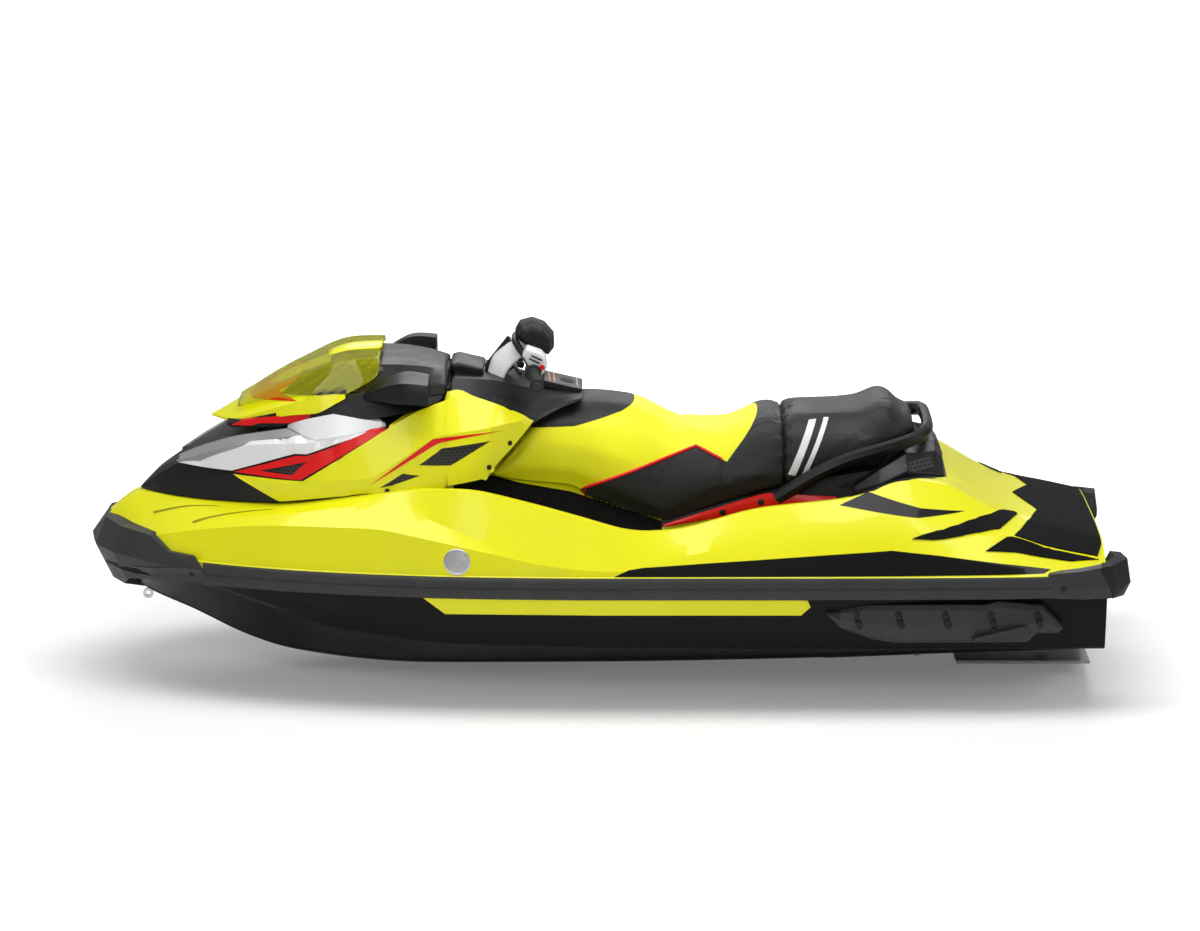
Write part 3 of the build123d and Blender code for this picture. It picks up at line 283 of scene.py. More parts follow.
# ---------------------------------------------------------------- mesh helpers
def lane(*keys, smooth=True):
    """A line that runs fore and aft through keys (x, y, z), without overshoot between them."""
    keys = sorted(keys)

    def slope(i, column):
        """The rise per step of x at a key, or None at the two ends."""
        if i in (0, len(keys) - 1):
            return None
        before = (keys[i][column] - keys[i - 1][column]) / (keys[i][0] - keys[i - 1][0])
        after = (keys[i + 1][column] - keys[i][column]) / (keys[i + 1][0] - keys[i][0])
        return 0.0 if before * after <= 0 else 2 * before * after / (before + after)

    def value(x, column):
        x = min(max(x, keys[0][0]), keys[-1][0])
        for i in range(len(keys) - 1):
            low, high = keys[i], keys[i + 1]
            if x <= high[0]:
                width = high[0] - low[0]
                share = (x - low[0]) / width
                rise = high[column] - low[column]
                if not smooth or len(keys) == 2:
                    return low[column] + share * rise
                start = slope(i, column)
                end = slope(i + 1, column)
                start = rise / width if start is None else start
                end = rise / width if end is None else end
                return (low[column] * (1 + 2 * share) * (1 - share) ** 2
                        + start * width * share * (1 - share) ** 2
                        + high[column] * share ** 2 * (3 - 2 * share)
                        + end * width * share ** 2 * (share - 1))
        return keys[-1][column]

    return lambda x: (x, value(x, 1), value(x, 2))


def offset(line, dy=0.0, dz=0.0):
    """The line, moved sideways and up, but not past the middle of the craft."""
    def moved(x):
        px, py, pz = line(x)
        return px, max(py + dy, 0.0), pz + dz
    return moved


def between(low, high, share, out=0.0, up=0.0):
    """A line between two others, pushed out and up."""
    def middle(x):
        _, y_low, z_low = low(x)
        _, y_high, z_high = high(x)
        return x, y_low + share * (y_high - y_low) + out, z_low + share * (z_high - z_low) + up
    return middle


def centre(line):
    """The line's heights, on the middle of the craft."""
    return lambda x: (x, 0.0, line(x)[2])


def stations(*breaks, spacing=50.0):
    """Places along the craft: every break, and even steps of about the spacing between them."""
    breaks = sorted(breaks)
    places = [breaks[0]]
    for low, high in zip(breaks, breaks[1:]):
        count = max(1, round((high - low) / spacing))
        places += [low + (high - low) * step / count for step in range(1, count + 1)]
    return places


def blank():
    """A new bmesh that can hold creases."""
    bm = bmesh.new()
    return bm, bm.edges.layers.float.new("crease_edge")


def in_pairs(row, closed):
    """Each item of a row with its neighbour, and the last with the first if the row is closed."""
    return list(zip(row, row[1:])) + ([(row[-1], row[0])] if closed else [])


def extruded(bm, row, edges):
    """One extrusion of a row of edges: its new verts in the row's order, and the rails to them."""
    made = bmesh.ops.extrude_edge_only(bm, edges=edges)["geom"]
    fresh = {item for item in made if isinstance(item, bmesh.types.BMVert)}
    rails = [next(edge for edge in vert.link_edges if edge.other_vert(vert) in fresh)
             for vert in row]
    return [rail.other_vert(vert) for vert, rail in zip(row, rails)], rails


def loft(lines, places, creases, closed=False):
    """A bmesh through the lines: one row of edges, extruded from place to place."""
    bm, crease = blank()
    row = [bm.verts.new(place(line(places[0]))) for line in lines]
    edges = [bm.edges.new(pair) for pair in in_pairs(row, closed)]
    for x in places[1:]:
        row, rails = extruded(bm, row, edges)
        for vert, rail, line, weight in zip(row, rails, lines, creases):
            vert.co = place(line(x))
            rail[crease] = weight
        edges = [bm.edges.get(pair) for pair in in_pairs(row, closed)]
    return bm


def whole(bm, cap=1.0):
    """Mirrors half a shape to the other side, closes its ends and turns its faces outwards."""
    bmesh.ops.mirror(bm, geom=bm.verts[:] + bm.edges[:] + bm.faces[:], axis="Y", merge_dist=MERGE)
    bmesh.ops.remove_doubles(bm, verts=bm.verts[:], dist=MERGE)
    return close(bm, cap)


def close(bm, cap=1.0):
    """Fills the open rims, creases them, and turns the faces outwards."""
    crease = bm.edges.layers.float["crease_edge"]
    rims = [edge for edge in bm.edges if edge.is_boundary]
    for edge in rims:
        edge[crease] = cap
    bmesh.ops.holes_fill(bm, edges=rims, sides=0)
    bmesh.ops.recalc_face_normals(bm, faces=bm.faces[:])
    return bm


def on_side(bm, side):
    """The shape as drawn, to port, or its mirror image, to starboard."""
    if side < 0:
        bmesh.ops.scale(bm, vec=(1, -1, 1), verts=bm.verts[:])
        bmesh.ops.reverse_faces(bm, faces=bm.faces[:])
    return bm


def add_object(name, data):
    """A new object in the scene."""
    made = bpy.data.objects.new(name, data)
    bpy.context.scene.collection.objects.link(made)
    return made


def rounded(made, width, segments, angle=None):
    """Rounds the edges of a piece by a width in millimetres, those beyond the angle only."""
    rounding = made.modifiers.new("rounding", "BEVEL")
    rounding.width = width * MM
    rounding.segments = segments
    rounding.limit_method = "ANGLE"
    if angle is not None:
        rounding.angle_limit = math.radians(angle)


def walled(made, thickness):
    """Gives a skin a wall, in millimetres, on the inside of its surface."""
    wall = made.modifiers.new("wall", "SOLIDIFY")
    wall.thickness = thickness * MM
    wall.offset = -1.0


def baked(made):
    """A new mesh: the object's own with its modifiers applied."""
    graph = bpy.context.evaluated_depsgraph_get()
    return bpy.data.meshes.new_from_object(made.evaluated_get(graph))


def shade_by_angle(mesh, angle, hard):
    """Sharp shading beyond an angle, and along the listed edges."""
    mesh.set_sharp_from_angle(angle=math.radians(angle))
    for index in hard:
        mesh.edges[index].use_edge_sharp = True


def piece(name, bm, finish, body="craft", replaces=(), levels=0, bevel=0.0,
          sharp=SHARP_ANGLE, angle=30.0, segments=2):
    """Turns a bmesh into a finished object that rides on a body of the frame."""
    mesh = bpy.data.meshes.new(name)
    crease = bm.edges.layers.float.get("crease_edge")
    bm.edges.index_update()
    hard = [edge.index for edge in bm.edges
            if not edge.smooth or (crease and edge[crease] >= HARD_CREASE)]
    bm.to_mesh(mesh)
    bm.free()
    made = add_object(name, mesh)
    mesh.shade_smooth()
    shade_by_angle(mesh, sharp, hard)
    named = isinstance(finish, str)
    mesh.materials.append(FINISHES[finish] if named else finish)
    if levels:
        smoothing = made.modifiers.new("smoothing", "SUBSURF")
        smoothing.levels = smoothing.render_levels = levels
    if bevel:
        rounded(made, bevel, segments, angle)
    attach(made, body)
    if replaces:
        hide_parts(*replaces)
    return made


def from_node(node):
    """A merged copy of a frame node's mesh, with its flat facets joined."""
    bm = bmesh.new()
    bm.from_mesh(NODES[node].data)
    bmesh.ops.remove_doubles(bm, verts=bm.verts[:], dist=MERGE)
    bmesh.ops.dissolve_limit(bm, angle_limit=math.radians(1.5), verts=bm.verts[:],
                             edges=bm.edges[:], use_dissolve_boundaries=False)
    return bm


def settled(source):
    """The source's final mesh, modifiers included, as a bmesh."""
    graph = bpy.context.evaluated_depsgraph_get()
    bm = bmesh.new()
    bm.from_object(source, graph)
    return bm


def inside(u, v, outline):
    """True if the point lies in the outline."""
    found = False
    for (ua, va), (ub, vb) in zip(outline, outline[1:] + outline[:1]):
        if (va > v) != (vb > v) and u < ua + (v - va) / (vb - va) * (ub - ua):
            found = not found
    return found


def spot(u, v, axis):
    """A place from two drawn coordinates: (x, z) seen from the side, or (x, y) from above."""
    return place((u, 0.0, v)) if axis == "side" else place((u, v, 0.0))


def patch(name, source, outline, finish, side=1, axis="side", thick=0.0, lift=0.5, holes=(),
          limit=None, body="craft", replaces=(), bevel=0.0, slot=None, sharp=20.0):
    """Cuts the part of a surface that lies inside an outline, and lays it on as a skin or a panel.

    The outline is drawn from the side or from above. The limit says which faces of the source
    may be used, by their middle and their normal. Thick and lift are in millimetres.
    """
    bm = settled(source)
    high = 2 if axis == "side" else 1
    if limit is None and axis == "side":
        limit = lambda co, normal: co.y * side > 0.02 and normal.y * side > -0.2
    elif limit is None:
        limit = lambda co, normal: normal.z > 0.2
    drop = [face for face in bm.faces if not limit(face.calc_center_median(), face.normal)]
    bmesh.ops.delete(bm, geom=drop, context="FACES")
    bmesh.ops.delete(bm, geom=outside_box(bm, outline, axis, high), context="FACES")
    for loop in [outline, *holes]:
        for start, end in zip(loop, loop[1:] + loop[:1]):
            cut_along(bm, spot(*start, axis), spot(*end, axis), high)
    drop = []
    for face in bm.faces:
        co = face.calc_center_median()
        u, v = undrawn(co, high)
        if not inside(u, v, outline) or any(inside(u, v, hole) for hole in holes):
            drop.append(face)
    bmesh.ops.delete(bm, geom=drop, context="FACES")
    bmesh.ops.remove_doubles(bm, verts=bm.verts[:], dist=0.3 * MM)
    bmesh.ops.dissolve_degenerate(bm, edges=bm.edges[:], dist=0.2 * MM)
    bm.normal_update()
    for vert in bm.verts:
        vert.co += vert.normal * lift * MM
    made = piece(name, bm, finish, body, replaces, sharp=sharp)
    if thick:
        wall = made.modifiers.new("wall", "SOLIDIFY")
        wall.thickness = thick * MM
        wall.offset = 1.0
        wall.use_even_offset = True
        wall.thickness_clamp = 1.0
    if bevel:
        rounded(made, bevel, 2, 50)
    settle_shading(made)
    return made


def settle_shading(made):
    """Shades by the large faces, so that slivers beside a cut don't show."""
    shading = made.modifiers.new("shading", "WEIGHTED_NORMAL")
    shading.keep_sharp = True


def undrawn(co, high):
    """A place in the frame as two drawn coordinates."""
    values = []
    for i in (0, high):
        share = (co[i] - CAD_BOX[0][i]) / (CAD_BOX[1][i] - CAD_BOX[0][i])
        values.append(DRAWN_LOW[i] + share * (DRAWN_HIGH[i] - DRAWN_LOW[i]))
    return values


def outside_box(bm, outline, axis, high):
    """Faces that lie clear of the outline's own box."""
    spots = [spot(u, v, axis) for u, v in outline]
    low = [min(point[i] for point in spots) for i in (0, high)]
    top = [max(point[i] for point in spots) for i in (0, high)]
    gone = []
    for face in bm.faces:
        for i, bottom, upper in zip((0, high), low, top):
            values = [vert.co[i] for vert in face.verts]
            if max(values) < bottom or min(values) > upper:
                gone.append(face)
                break
    return gone


def cut_along(bm, start, end, high):
    """Splits the faces that the segment from start to end crosses."""
    flat = end - start
    way = Vector((flat.x, 0, flat.z)) if high == 2 else Vector((flat.x, flat.y, 0))
    across = Vector((-way.z, 0, way.x)) if high == 2 else Vector((-way.y, way.x, 0))
    if across.length < 1e-9:        # the same point twice
        return
    low = [min(start[i], end[i]) - 2 * MM for i in (0, high)]
    top = [max(start[i], end[i]) + 2 * MM for i in (0, high)]
    near = []
    for face in bm.faces:
        hit = True
        for i, bottom, upper in zip((0, high), low, top):
            values = [vert.co[i] for vert in face.verts]
            hit = hit and max(values) >= bottom and min(values) <= upper
        if hit:
            near.append(face)
    edges = {edge for face in near for edge in face.edges}
    verts = {vert for face in near for vert in face.verts}
    bmesh.ops.bisect_plane(bm, geom=near + list(edges) + list(verts), dist=1e-6, plane_co=start,
                           plane_no=across.normalized())


def carve(made, *cutters):
    """Cuts spaces out of a closed piece."""
    for cutter in cutters:
        cut = made.modifiers.new("space", "BOOLEAN")
        cut.operation = "DIFFERENCE"
        cut.solver = "EXACT"
        cut.object = cutter
    mesh = baked(made)
    made.modifiers.clear()
    made.data = mesh
    shade_by_angle(mesh, SHARP_ANGLE, [edge.index for edge in mesh.edges if edge.use_edge_sharp])
    for cutter in cutters:
        bpy.data.objects.remove(cutter)


def block(low, high):
    """A plain cutting block between two drawn corners."""
    bm = bmesh.new()
    bmesh.ops.create_cube(bm, size=1.0)
    start, end = place(low), place(high)
    bmesh.ops.scale(bm, vec=end - start, verts=bm.verts[:])
    bmesh.ops.translate(bm, vec=(start + end) / 2, verts=bm.verts[:])
    return tool(bm)


def tool(bm):
    """A closed shape as an object that cuts."""
    mesh = bpy.data.meshes.new("cutter")
    bm.to_mesh(mesh)
    bm.free()
    return add_object("cutter", mesh)


# ---------------------------------------------------------------- hull
RAIL_LOW, BOND, RAIL_HIGH = 120.0, 155.0, 190.0     # the rub rail's foot, the joint line, its top
OUTLINE = lane(
    (1600, 118, 0), (1560, 186, 0), (1450, 285, 0), (1300, 375, 0), (1150, 440, 0),
    (950, 500, 0), (700, 550, 0), (400, 585, 0), (0, 600, 0), (-600, 600, 0),
    (-1200, 590, 0), (-1500, 565, 0), (-1585, 540, 0))


def outline_at(z, inset=0.0):
    """The craft's plan outline as a line at one height."""
    return lambda x: (x, OUTLINE(x)[1] - inset, z)


KEEL = lane(
    (1600, 0, 119), (1487, 0, 12), (1311, 0, -71), (1149, 0, -155), (987, 0, -206),
    (759, 0, -240), (562, 0, -250), (0, 0, -250), (-647, 0, -238), (-1170, 0, -218),
    (-1585, 0, -204))
STRAKE = lane(
    (1600, 20, 119), (1487, 50, 24), (1311, 110, -40), (1149, 150, -110), (987, 190, -150),
    (562, 235, -178), (0, 245, -172), (-647, 245, -160), (-1585, 245, -130))
STRAKE_TOP = offset(STRAKE, 9, 10)
CHINE = lane(
    (1600, 60, 119), (1487, 190, 100), (1254, 352, 104), (987, 385, 14), (854, 430, -17),
    (511, 488, -50), (6, 500, -62), (-624, 500, -68), (-1585, 486, -68), smooth=False)
CHINE_TOP = lane(
    (1600, 62, 119), (1487, 196, 103), (1254, 358, 108), (987, 392, 20), (854, 440, -8),
    (511, 500, -38), (6, 512, -50), (-624, 512, -56), (-1585, 498, -56), smooth=False)
SIDE = lane(
    (1600, 80, 119), (1487, 220, 108), (1254, 370, 112), (987, 410, 32), (862, 500, 68),
    (508, 548, 63), (0, 566, 62), (-624, 566, 62), (-1585, 520, 62), smooth=False)
SIDE_TOP = lane(
    (1600, 100, 119), (1487, 240, 112), (1254, 385, 116), (987, 425, 42), (862, 506, 76),
    (775, 526, 116), (508, 566, 117), (0, 590, 117), (-624, 590, 117), (-1585, 528, 117),
    smooth=False)
HULL_PLACES = stations(1600, 1560, 1487, 1311, 1254, 1149, 987, 862, 775, 562, 508, 0, -624,
                       -1170, -1500, -1585)
DUCT_HALF = 78.0        # half the width of the water duct


def make_hull():
    """Bottom, chines and sides, with the pump's duct and the engine's room cut out."""
    flat_top = outline_at(BOND)
    lines = [KEEL, STRAKE, STRAKE_TOP, CHINE, CHINE_TOP, SIDE, SIDE_TOP, outline_at(RAIL_LOW),
             flat_top, centre(flat_top)]
    creases = [0.3, 0.95, 0.95, 0.95, 0.95, 0.8, 0.8, 0.9, 1.0, 1.0]
    bm = whole(loft(lines, HULL_PLACES, creases))
    hull = piece("hull_shell", bm, "hull_black", replaces=["hull"], levels=1)
    duct = bmesh.new()
    outline = [(-610, -300), (-1050, -300), (-1151, -176), (-1151, -22), (-1080, -30), (-840, -150)]
    base = [duct.verts.new(place((x, -DUCT_HALF, z))) for x, z in outline]
    face = duct.faces.new(base)
    made = bmesh.ops.extrude_face_region(duct, geom=[face])["geom"]
    risen = [item for item in made if isinstance(item, bmesh.types.BMVert)]
    bmesh.ops.translate(duct, vec=(0, 2 * DUCT_HALF * MM, 0), verts=risen)
    bmesh.ops.recalc_face_normals(duct, faces=duct.faces[:])
    carve(hull, block((-1700, -130, -400), (-1150, 130, 6)),
          block((-1700, -130, 5), (-1436, 130, 76)), block((-560, -150, -130), (330, 150, 300)),
          tool(duct))
    return hull


# ---------------------------------------------------------------- deck
DECK_CREASE = lane(
    (1600, 108, 196), (1434, 268, 246), (1271, 362, 289), (1011, 464, 326), (725, 530, 332),
    (537, 560, 302), (318, 580, 257), (131, 592, 221), (-56, 593, 209), (-243, 592, 226),
    (-554, 590, 252), (-866, 584, 270), (-1116, 574, 245), (-1368, 556, 206),
    (-1495, 540, 198), (-1585, 515, 195))
DECK_FOLD = lane(
    (1600, 95, 210), (1434, 232, 262), (1271, 322, 312), (1011, 425, 352), (681, 462, 392),
    (475, 526, 330), (224, 580, 249), (-56, 588, 216), (-243, 578, 252), (-554, 560, 300),
    (-866, 545, 330), (-1116, 515, 306), (-1264, 485, 296), (-1368, 480, 262),
    (-1495, 478, 226), (-1585, 465, 208))
CREST = lane(
    (1600, 50, 262), (1482, 60, 340), (1317, 200, 346), (1036, 330, 361), (762, 400, 407),
    (540, 448, 440), (435, 478, 446), (241, 500, 411), (69, 518, 368), (-119, 526, 322),
    (-188, 508, 321), (-495, 480, 387), (-778, 455, 415), (-954, 400, 462),
    (-1088, 355, 436), (-1200, 335, 372), (-1313, 330, 316), (-1468, 345, 280),
    (-1585, 355, 252))
CREST_IN = lane(
    (1600, 40, 263), (1482, 50, 341), (1317, 188, 347), (1036, 318, 362), (762, 385, 408),
    (540, 425, 440), (435, 450, 444), (241, 472, 409), (69, 492, 366), (-119, 500, 320),
    (-188, 482, 319), (-495, 452, 385), (-778, 425, 413), (-954, 370, 460),
    (-1088, 325, 436), (-1200, 305, 374), (-1313, 300, 320), (-1468, 315, 284),
    (-1585, 325, 256))
FLOOR_OUT = lane(
    (1600, 30, 264), (1482, 40, 341), (1317, 170, 347), (1036, 300, 363), (762, 370, 409),
    (560, 400, 436), (470, 400, 215), (241, 425, 174), (69, 440, 170), (-119, 448, 170),
    (-495, 415, 172), (-778, 385, 176), (-880, 370, 210), (-960, 352, 458),
    (-1088, 300, 438), (-1200, 280, 376), (-1313, 275, 322), (-1468, 290, 286),
    (-1585, 300, 258), smooth=False)
FLOOR_IN = lane(
    (1600, 20, 264), (1482, 30, 341), (1317, 140, 347), (1036, 250, 364), (762, 320, 410),
    (560, 330, 438), (470, 290, 220), (241, 266, 174), (69, 260, 170), (-119, 258, 170),
    (-495, 262, 172), (-778, 268, 176), (-880, 270, 210), (-960, 272, 456),
    (-1088, 250, 440), (-1200, 240, 378), (-1313, 235, 324), (-1468, 250, 288),
    (-1585, 260, 260), smooth=False)
SHOULDER = lane(
    (1600, 15, 265), (1482, 20, 342), (1317, 110, 348), (1036, 200, 365), (762, 260, 411),
    (560, 270, 440), (470, 250, 440), (355, 221, 420), (102, 220, 364), (-190, 220, 272),
    (-300, 220, 296), (-519, 220, 376), (-740, 220, 434), (-954, 220, 458),
    (-1088, 215, 442), (-1200, 205, 380), (-1313, 200, 326), (-1468, 210, 290),
    (-1585, 220, 262))
PEDESTAL = lane(
    (1600, 10, 265), (1482, 10, 342), (1317, 80, 348), (1036, 150, 366), (762, 190, 412),
    (560, 190, 445), (355, 172, 455), (102, 168, 440), (-190, 168, 425), (-519, 172, 432),
    (-740, 176, 446), (-954, 180, 460), (-1088, 170, 444), (-1200, 160, 382),
    (-1313, 155, 328), (-1468, 165, 292), (-1585, 175, 264))
DECK_PLACES = stations(1600, 1560, 1482, 1434, 1317, 1271, 1036, 1011, 762, 681, 560, 470, 435,
                       355, 241, 69, -56, -119, -188, -300, -495, -519, -778, -880, -960, -1088,
                       -1200, -1313, -1468, -1585)
BOW_STORE = ((760, -165, 210), (1100, 165, 900))


def make_deck():
    """The upper moulding: topsides, crests, footwells and the pedestal under the seat."""
    base = outline_at(BOND)
    lines = [centre(base), base, outline_at(RAIL_HIGH), outline_at(RAIL_HIGH + 2, 4), DECK_CREASE,
             DECK_FOLD, CREST, CREST_IN, FLOOR_OUT, FLOOR_IN, SHOULDER, PEDESTAL,
             centre(PEDESTAL)]
    creases = [1, 1, 1, 0.9, 1, 0.9, 0.9, 0.9, 0.8, 0.8, 0.6, 0.6, 0]
    bm = whole(loft(lines, DECK_PLACES, creases))
    deck = piece("deck_moulding", bm, "yellow_gelcoat", levels=1, sharp=16,
                 replaces=["deck", "gunwale_port", "gunwale_starboard"])
    carve(deck, block((-560, -150, 100), (330, 150, 600)), block(*BOW_STORE))
    return deck


# ---------------------------------------------------------------- building blocks
def across_both(bm):
    """The shape and its mirror image."""
    bmesh.ops.mirror(bm, geom=bm.verts[:] + bm.edges[:] + bm.faces[:], axis="Y", merge_dist=MERGE)
    bmesh.ops.recalc_face_normals(bm, faces=bm.faces[:])
    return bm


def slab(outline, steps, turn):
    """A flat outline, extruded sideways in steps of (y, share of its size), then put in place."""
    bm, _ = blank()
    middle = [sum(values) / len(outline) for values in zip(*outline)]

    def shrunk(point, share):
        return [mid + (value - mid) * share for value, mid in zip(point, middle)]

    def move(verts, y, share):
        for vert, point in zip(verts, outline):
            x, z = shrunk(point, share)
            vert.co = turn(x, y, z)

    face = bm.faces.new([bm.verts.new((0, 0, i)) for i in range(len(outline))])
    move(face.verts, *steps[0])
    for y, share in steps[1:]:
        made = bmesh.ops.extrude_discrete_faces(bm, faces=[face])["faces"]
        face = made[0]
        move(face.verts, y, share)
    first = bm.verts[:len(outline)]
    if not any(set(item.verts) == set(first) for item in bm.faces):
        bm.faces.new(list(first))
    bmesh.ops.recalc_face_normals(bm, faces=bm.faces[:])
    return bm


def drawn(x, y, z):
    """The turn of a slab that already lies in place."""
    return place((x, y, z))


def join(*parts):
    """Several bmeshes as one."""
    mesh = bpy.data.meshes.new("parts")
    together, _ = blank()
    for part in parts:
        part.to_mesh(mesh)
        part.free()
        together.from_mesh(mesh)
    bpy.data.meshes.remove(mesh)
    return together


def turned(profile, start, way, steps=32):
    """A round part: a profile of (distance along, radius) in millimetres, spun about an axis."""
    bm, _ = blank()
    verts = [bm.verts.new((radius * MM, 0, along * MM)) for along, radius in profile]
    edges = [bm.edges.new(pair) for pair in zip(verts, verts[1:])]
    bmesh.ops.spin(bm, geom=verts + edges, cent=(0, 0, 0), axis=(0, 0, 1), angle=2 * math.pi,
                   steps=steps, use_merge=True)
    bmesh.ops.remove_doubles(bm, verts=bm.verts[:], dist=1e-6)
    bmesh.ops.recalc_face_normals(bm, faces=bm.faces[:])
    turn = Vector(way).normalized().to_track_quat("Z", "Y").to_matrix().to_4x4()
    bmesh.ops.transform(bm, matrix=Matrix.Translation(start) @ turn, verts=bm.verts[:])
    return bm


def bolt(spot_at, way, radius):
    """A socket bolt head with a washer."""
    profile = [(-1, 0), (-1, radius * 1.5), (1.0, radius * 1.5), (1.4, radius * 1.4), (1.4, radius),
               (3.6, radius), (4.4, radius * 0.85), (4.4, radius * 0.5), (2.2, radius * 0.45),
               (2.2, 0)]
    return turned(profile, spot_at, way, 20)


def bolts(source, places, side, lift, radius):
    """Bolt heads at drawn (x, z) places on a surface, as one shape."""
    return join(*[bolt(*ground(source, x, z, side, lift=lift), radius) for x, z in places])


def smooth_path(points):
    """Places along a smooth curve with the points as its control points."""
    curve = bpy.data.curves.new("path", "CURVE")
    curve.dimensions = "3D"
    spline = curve.splines.new("NURBS")
    spline.points.add(len(points) - 1)
    for item, point in zip(spline.points, points):
        item.co = (*point, 1)
    spline.order_u = 3
    spline.use_endpoint_u = True
    spline.resolution_u = 8
    holder = add_object("path", curve)
    bpy.context.view_layer.update()
    found = [vert.co.copy() for vert in baked(holder).vertices]
    bpy.data.objects.remove(holder)
    return found


def tube(points, radius, wide=1.0, smooth=True, steps=14, taper=None):
    """A round or flattened bar through places: a ring of vertices, extruded along the line."""
    line = smooth_path(points) if smooth else [Vector(point) for point in points]
    bm, _ = blank()
    bmesh.ops.create_circle(bm, segments=steps, radius=1.0)
    edges = list(bm.edges)
    ring = list(bm.verts)
    flat = [vert.co.copy() for vert in ring]

    def lay(verts, i):
        before, after = line[max(i - 1, 0)], line[min(i + 1, len(line) - 1)]
        way = (after - before).normalized()
        side = way.cross(Vector((0, 0, 1)))
        side = side.normalized() if side.length > 1e-6 else Vector((0, 1, 0))
        up = side.cross(way)
        size = radius * MM * (1.0 if taper is None else taper(i / (len(line) - 1)))
        for vert, co in zip(verts, flat):
            vert.co = line[i] + side * co.x * size + up * co.y * size * wide

    lay(ring, 0)
    bm.faces.new(ring)
    for i in range(1, len(line)):
        ring, _ = extruded(bm, ring, edges)
        edges = [bm.edges.get(pair) for pair in in_pairs(ring, closed=True)]
        lay(ring, i)
    bm.faces.new(ring)
    bmesh.ops.recalc_face_normals(bm, faces=bm.faces[:])
    return bm


def ground(source, x, z, side=1, lift=0.0):
    """Where a surface lies, seen from the side at a drawn (x, z), and the way out of it."""
    graph = bpy.context.evaluated_depsgraph_get()
    start = place((x, 0, z)) + Vector((0, side * 2.0, 0))
    way = Vector((0, -side, 0))
    _, co, normal, _ = source.evaluated_get(graph).ray_cast(start, way)
    return co + normal * lift * MM, normal


def mirrored(outline):
    """The same outline seen from above, on the other side."""
    return [(x, -y) for x, y in outline]


# ---------------------------------------------------------------- rails, bumpers and sponsons
def make_rails():
    """The rub rails along both sides, ribbed, from bumper to bumper."""
    for name, side in SIDES:
        profile = [(RAIL_LOW - 1, 0), (RAIL_LOW + 3, 10), (RAIL_LOW + 16, 12.5),
                   (RAIL_LOW + 30, 12.5), (RAIL_LOW + 33, 9.5), (RAIL_LOW + 37, 9.5),
                   (RAIL_LOW + 40, 12.5), (RAIL_HIGH - 12, 12.5), (RAIL_HIGH - 3, 9), (RAIL_HIGH, 1)]
        lines = [outline_at(z, -out) for z, out in profile] + [outline_at(BOND, 4)]
        bm = loft(lines, stations(1262, 950, 400, 0, -600, -1200, -1412, spacing=40),
                  [1, 0.5, 0.5, 1, 1, 1, 1, 0.6, 0.5, 1, 1], closed=True)
        piece("rub_rail_strip_" + name, on_side(close(bm), side), "bumper_grey",
              replaces=["rub_rail_" + name], levels=1)


def make_bumpers():
    """The bow and corner bumpers, with rubber pads, a lighter strip and bolts."""
    for node in ("front_bumper", "corner_bumper_port", "corner_bumper_starboard"):
        made = piece(node + "_moulding", from_node(node), "bumper_grey", replaces=[node], bevel=3.0,
                     segments=3, angle=12)
        settle_shading(made)
    for name, side in SIDES:
        bumper = bpy.data.objects["front_bumper_moulding"]
        front, way = ground(bumper, 1300, 150, side, lift=0.5)
        corner = bpy.data.objects["corner_bumper_" + name + "_moulding"]
        rear, back = ground(corner, -1440, 150, side, lift=0.5)
        heads = join(bolt(front, way, 7.0), bolt(rear, back, 7.0))
        piece("bumper_bolts_" + name, heads, BLACK_BOLT)
        pad = [(-1560, 206), (-1590, 150), (-1600, 112), (-1680, 100), (-1680, 240), (-1575, 240)]
        patch("corner_pad_" + name, corner, pad, "rubber_black", side, thick=2.5, bevel=0.8)
        strip = [(1500, 122), (1330, 150), (1262, 152), (1262, 168), (1330, 168), (1512, 140)]
        patch("bumper_strip_" + name, bumper, strip, STRIP_GREY, side, thick=1.5, bevel=0.5,
              slot="bumper_grey")


def make_sponsons():
    """The sponsons, with bolt slots shown as painted shade (flat dark patches where the sunk slots
    are), and a thin fin below each.
    """
    low = lane((-705, 560, 66), (-745, 560, 20), (-847, 560, -18), (-919, 560, -29),
               (-1333, 552, -29), (-1364, 552, 0), (-1427, 550, 1), (-1444, 549, 20), smooth=False)
    high = lane((-705, 560, 72), (-830, 572, 97), (-1204, 572, 97), (-1240, 570, 109),
                (-1381, 562, 92), (-1444, 551, 24), smooth=False)
    lines = [offset(low, -70), low, between(low, high, 0.12, 18), between(low, high, 0.5, 22),
             between(low, high, 0.86, 12), high, offset(high, -70)]
    places = stations(-705, -745, -830, -847, -919, -1204, -1240, -1333, -1364, -1381, -1427, -1444)
    bolt_places = (-799, -930, -1077, -1220, -1366)
    for name, side in SIDES:
        bm = on_side(close(loft(lines, places, [1] * len(lines), closed=True)), side)
        body = piece("sponson_body_" + name, bm, "bumper_grey", replaces=["sponson_" + name],
                     bevel=2.5, angle=12, segments=3, sharp=18)
        settle_shading(body)
        for i, x in enumerate(bolt_places):
            # painted shade: a flat black patch stands for the shade inside each sunk bolt slot
            slot_shade_line = [(x + 1, 80), (x + 10, 78), (x + 15, 70), (x + 5, 32), (x - 3, 22),
                         (x - 13, 23), (x - 18, 33), (x - 5, 73)]
            patch(f"sponson_slot_shade_{name}_{i}", body, slot_shade_line, GRAPHIC_BLACK_AND_SLOT_SHADE, side, lift=0.4,
                  slot="rubber_black")
        spots = [(x + step, z) for x in bolt_places for step, z in ((4, 65), (-6, 38))]
        piece("sponson_bolts_" + name, bolts(body, spots, side, 0.3, 7.0), BLACK_BOLT)
        fin = slab([(-1158, -14), (-1324, 20), (-1331, 27), (-1324, 34), (-1160, -6)],
                   [(side * 562, 1.0), (side * 596, 1.0), (side * 602, 0.96)], drawn)
        piece("sponson_fin_" + name, fin, "bumper_grey", bevel=1.5)


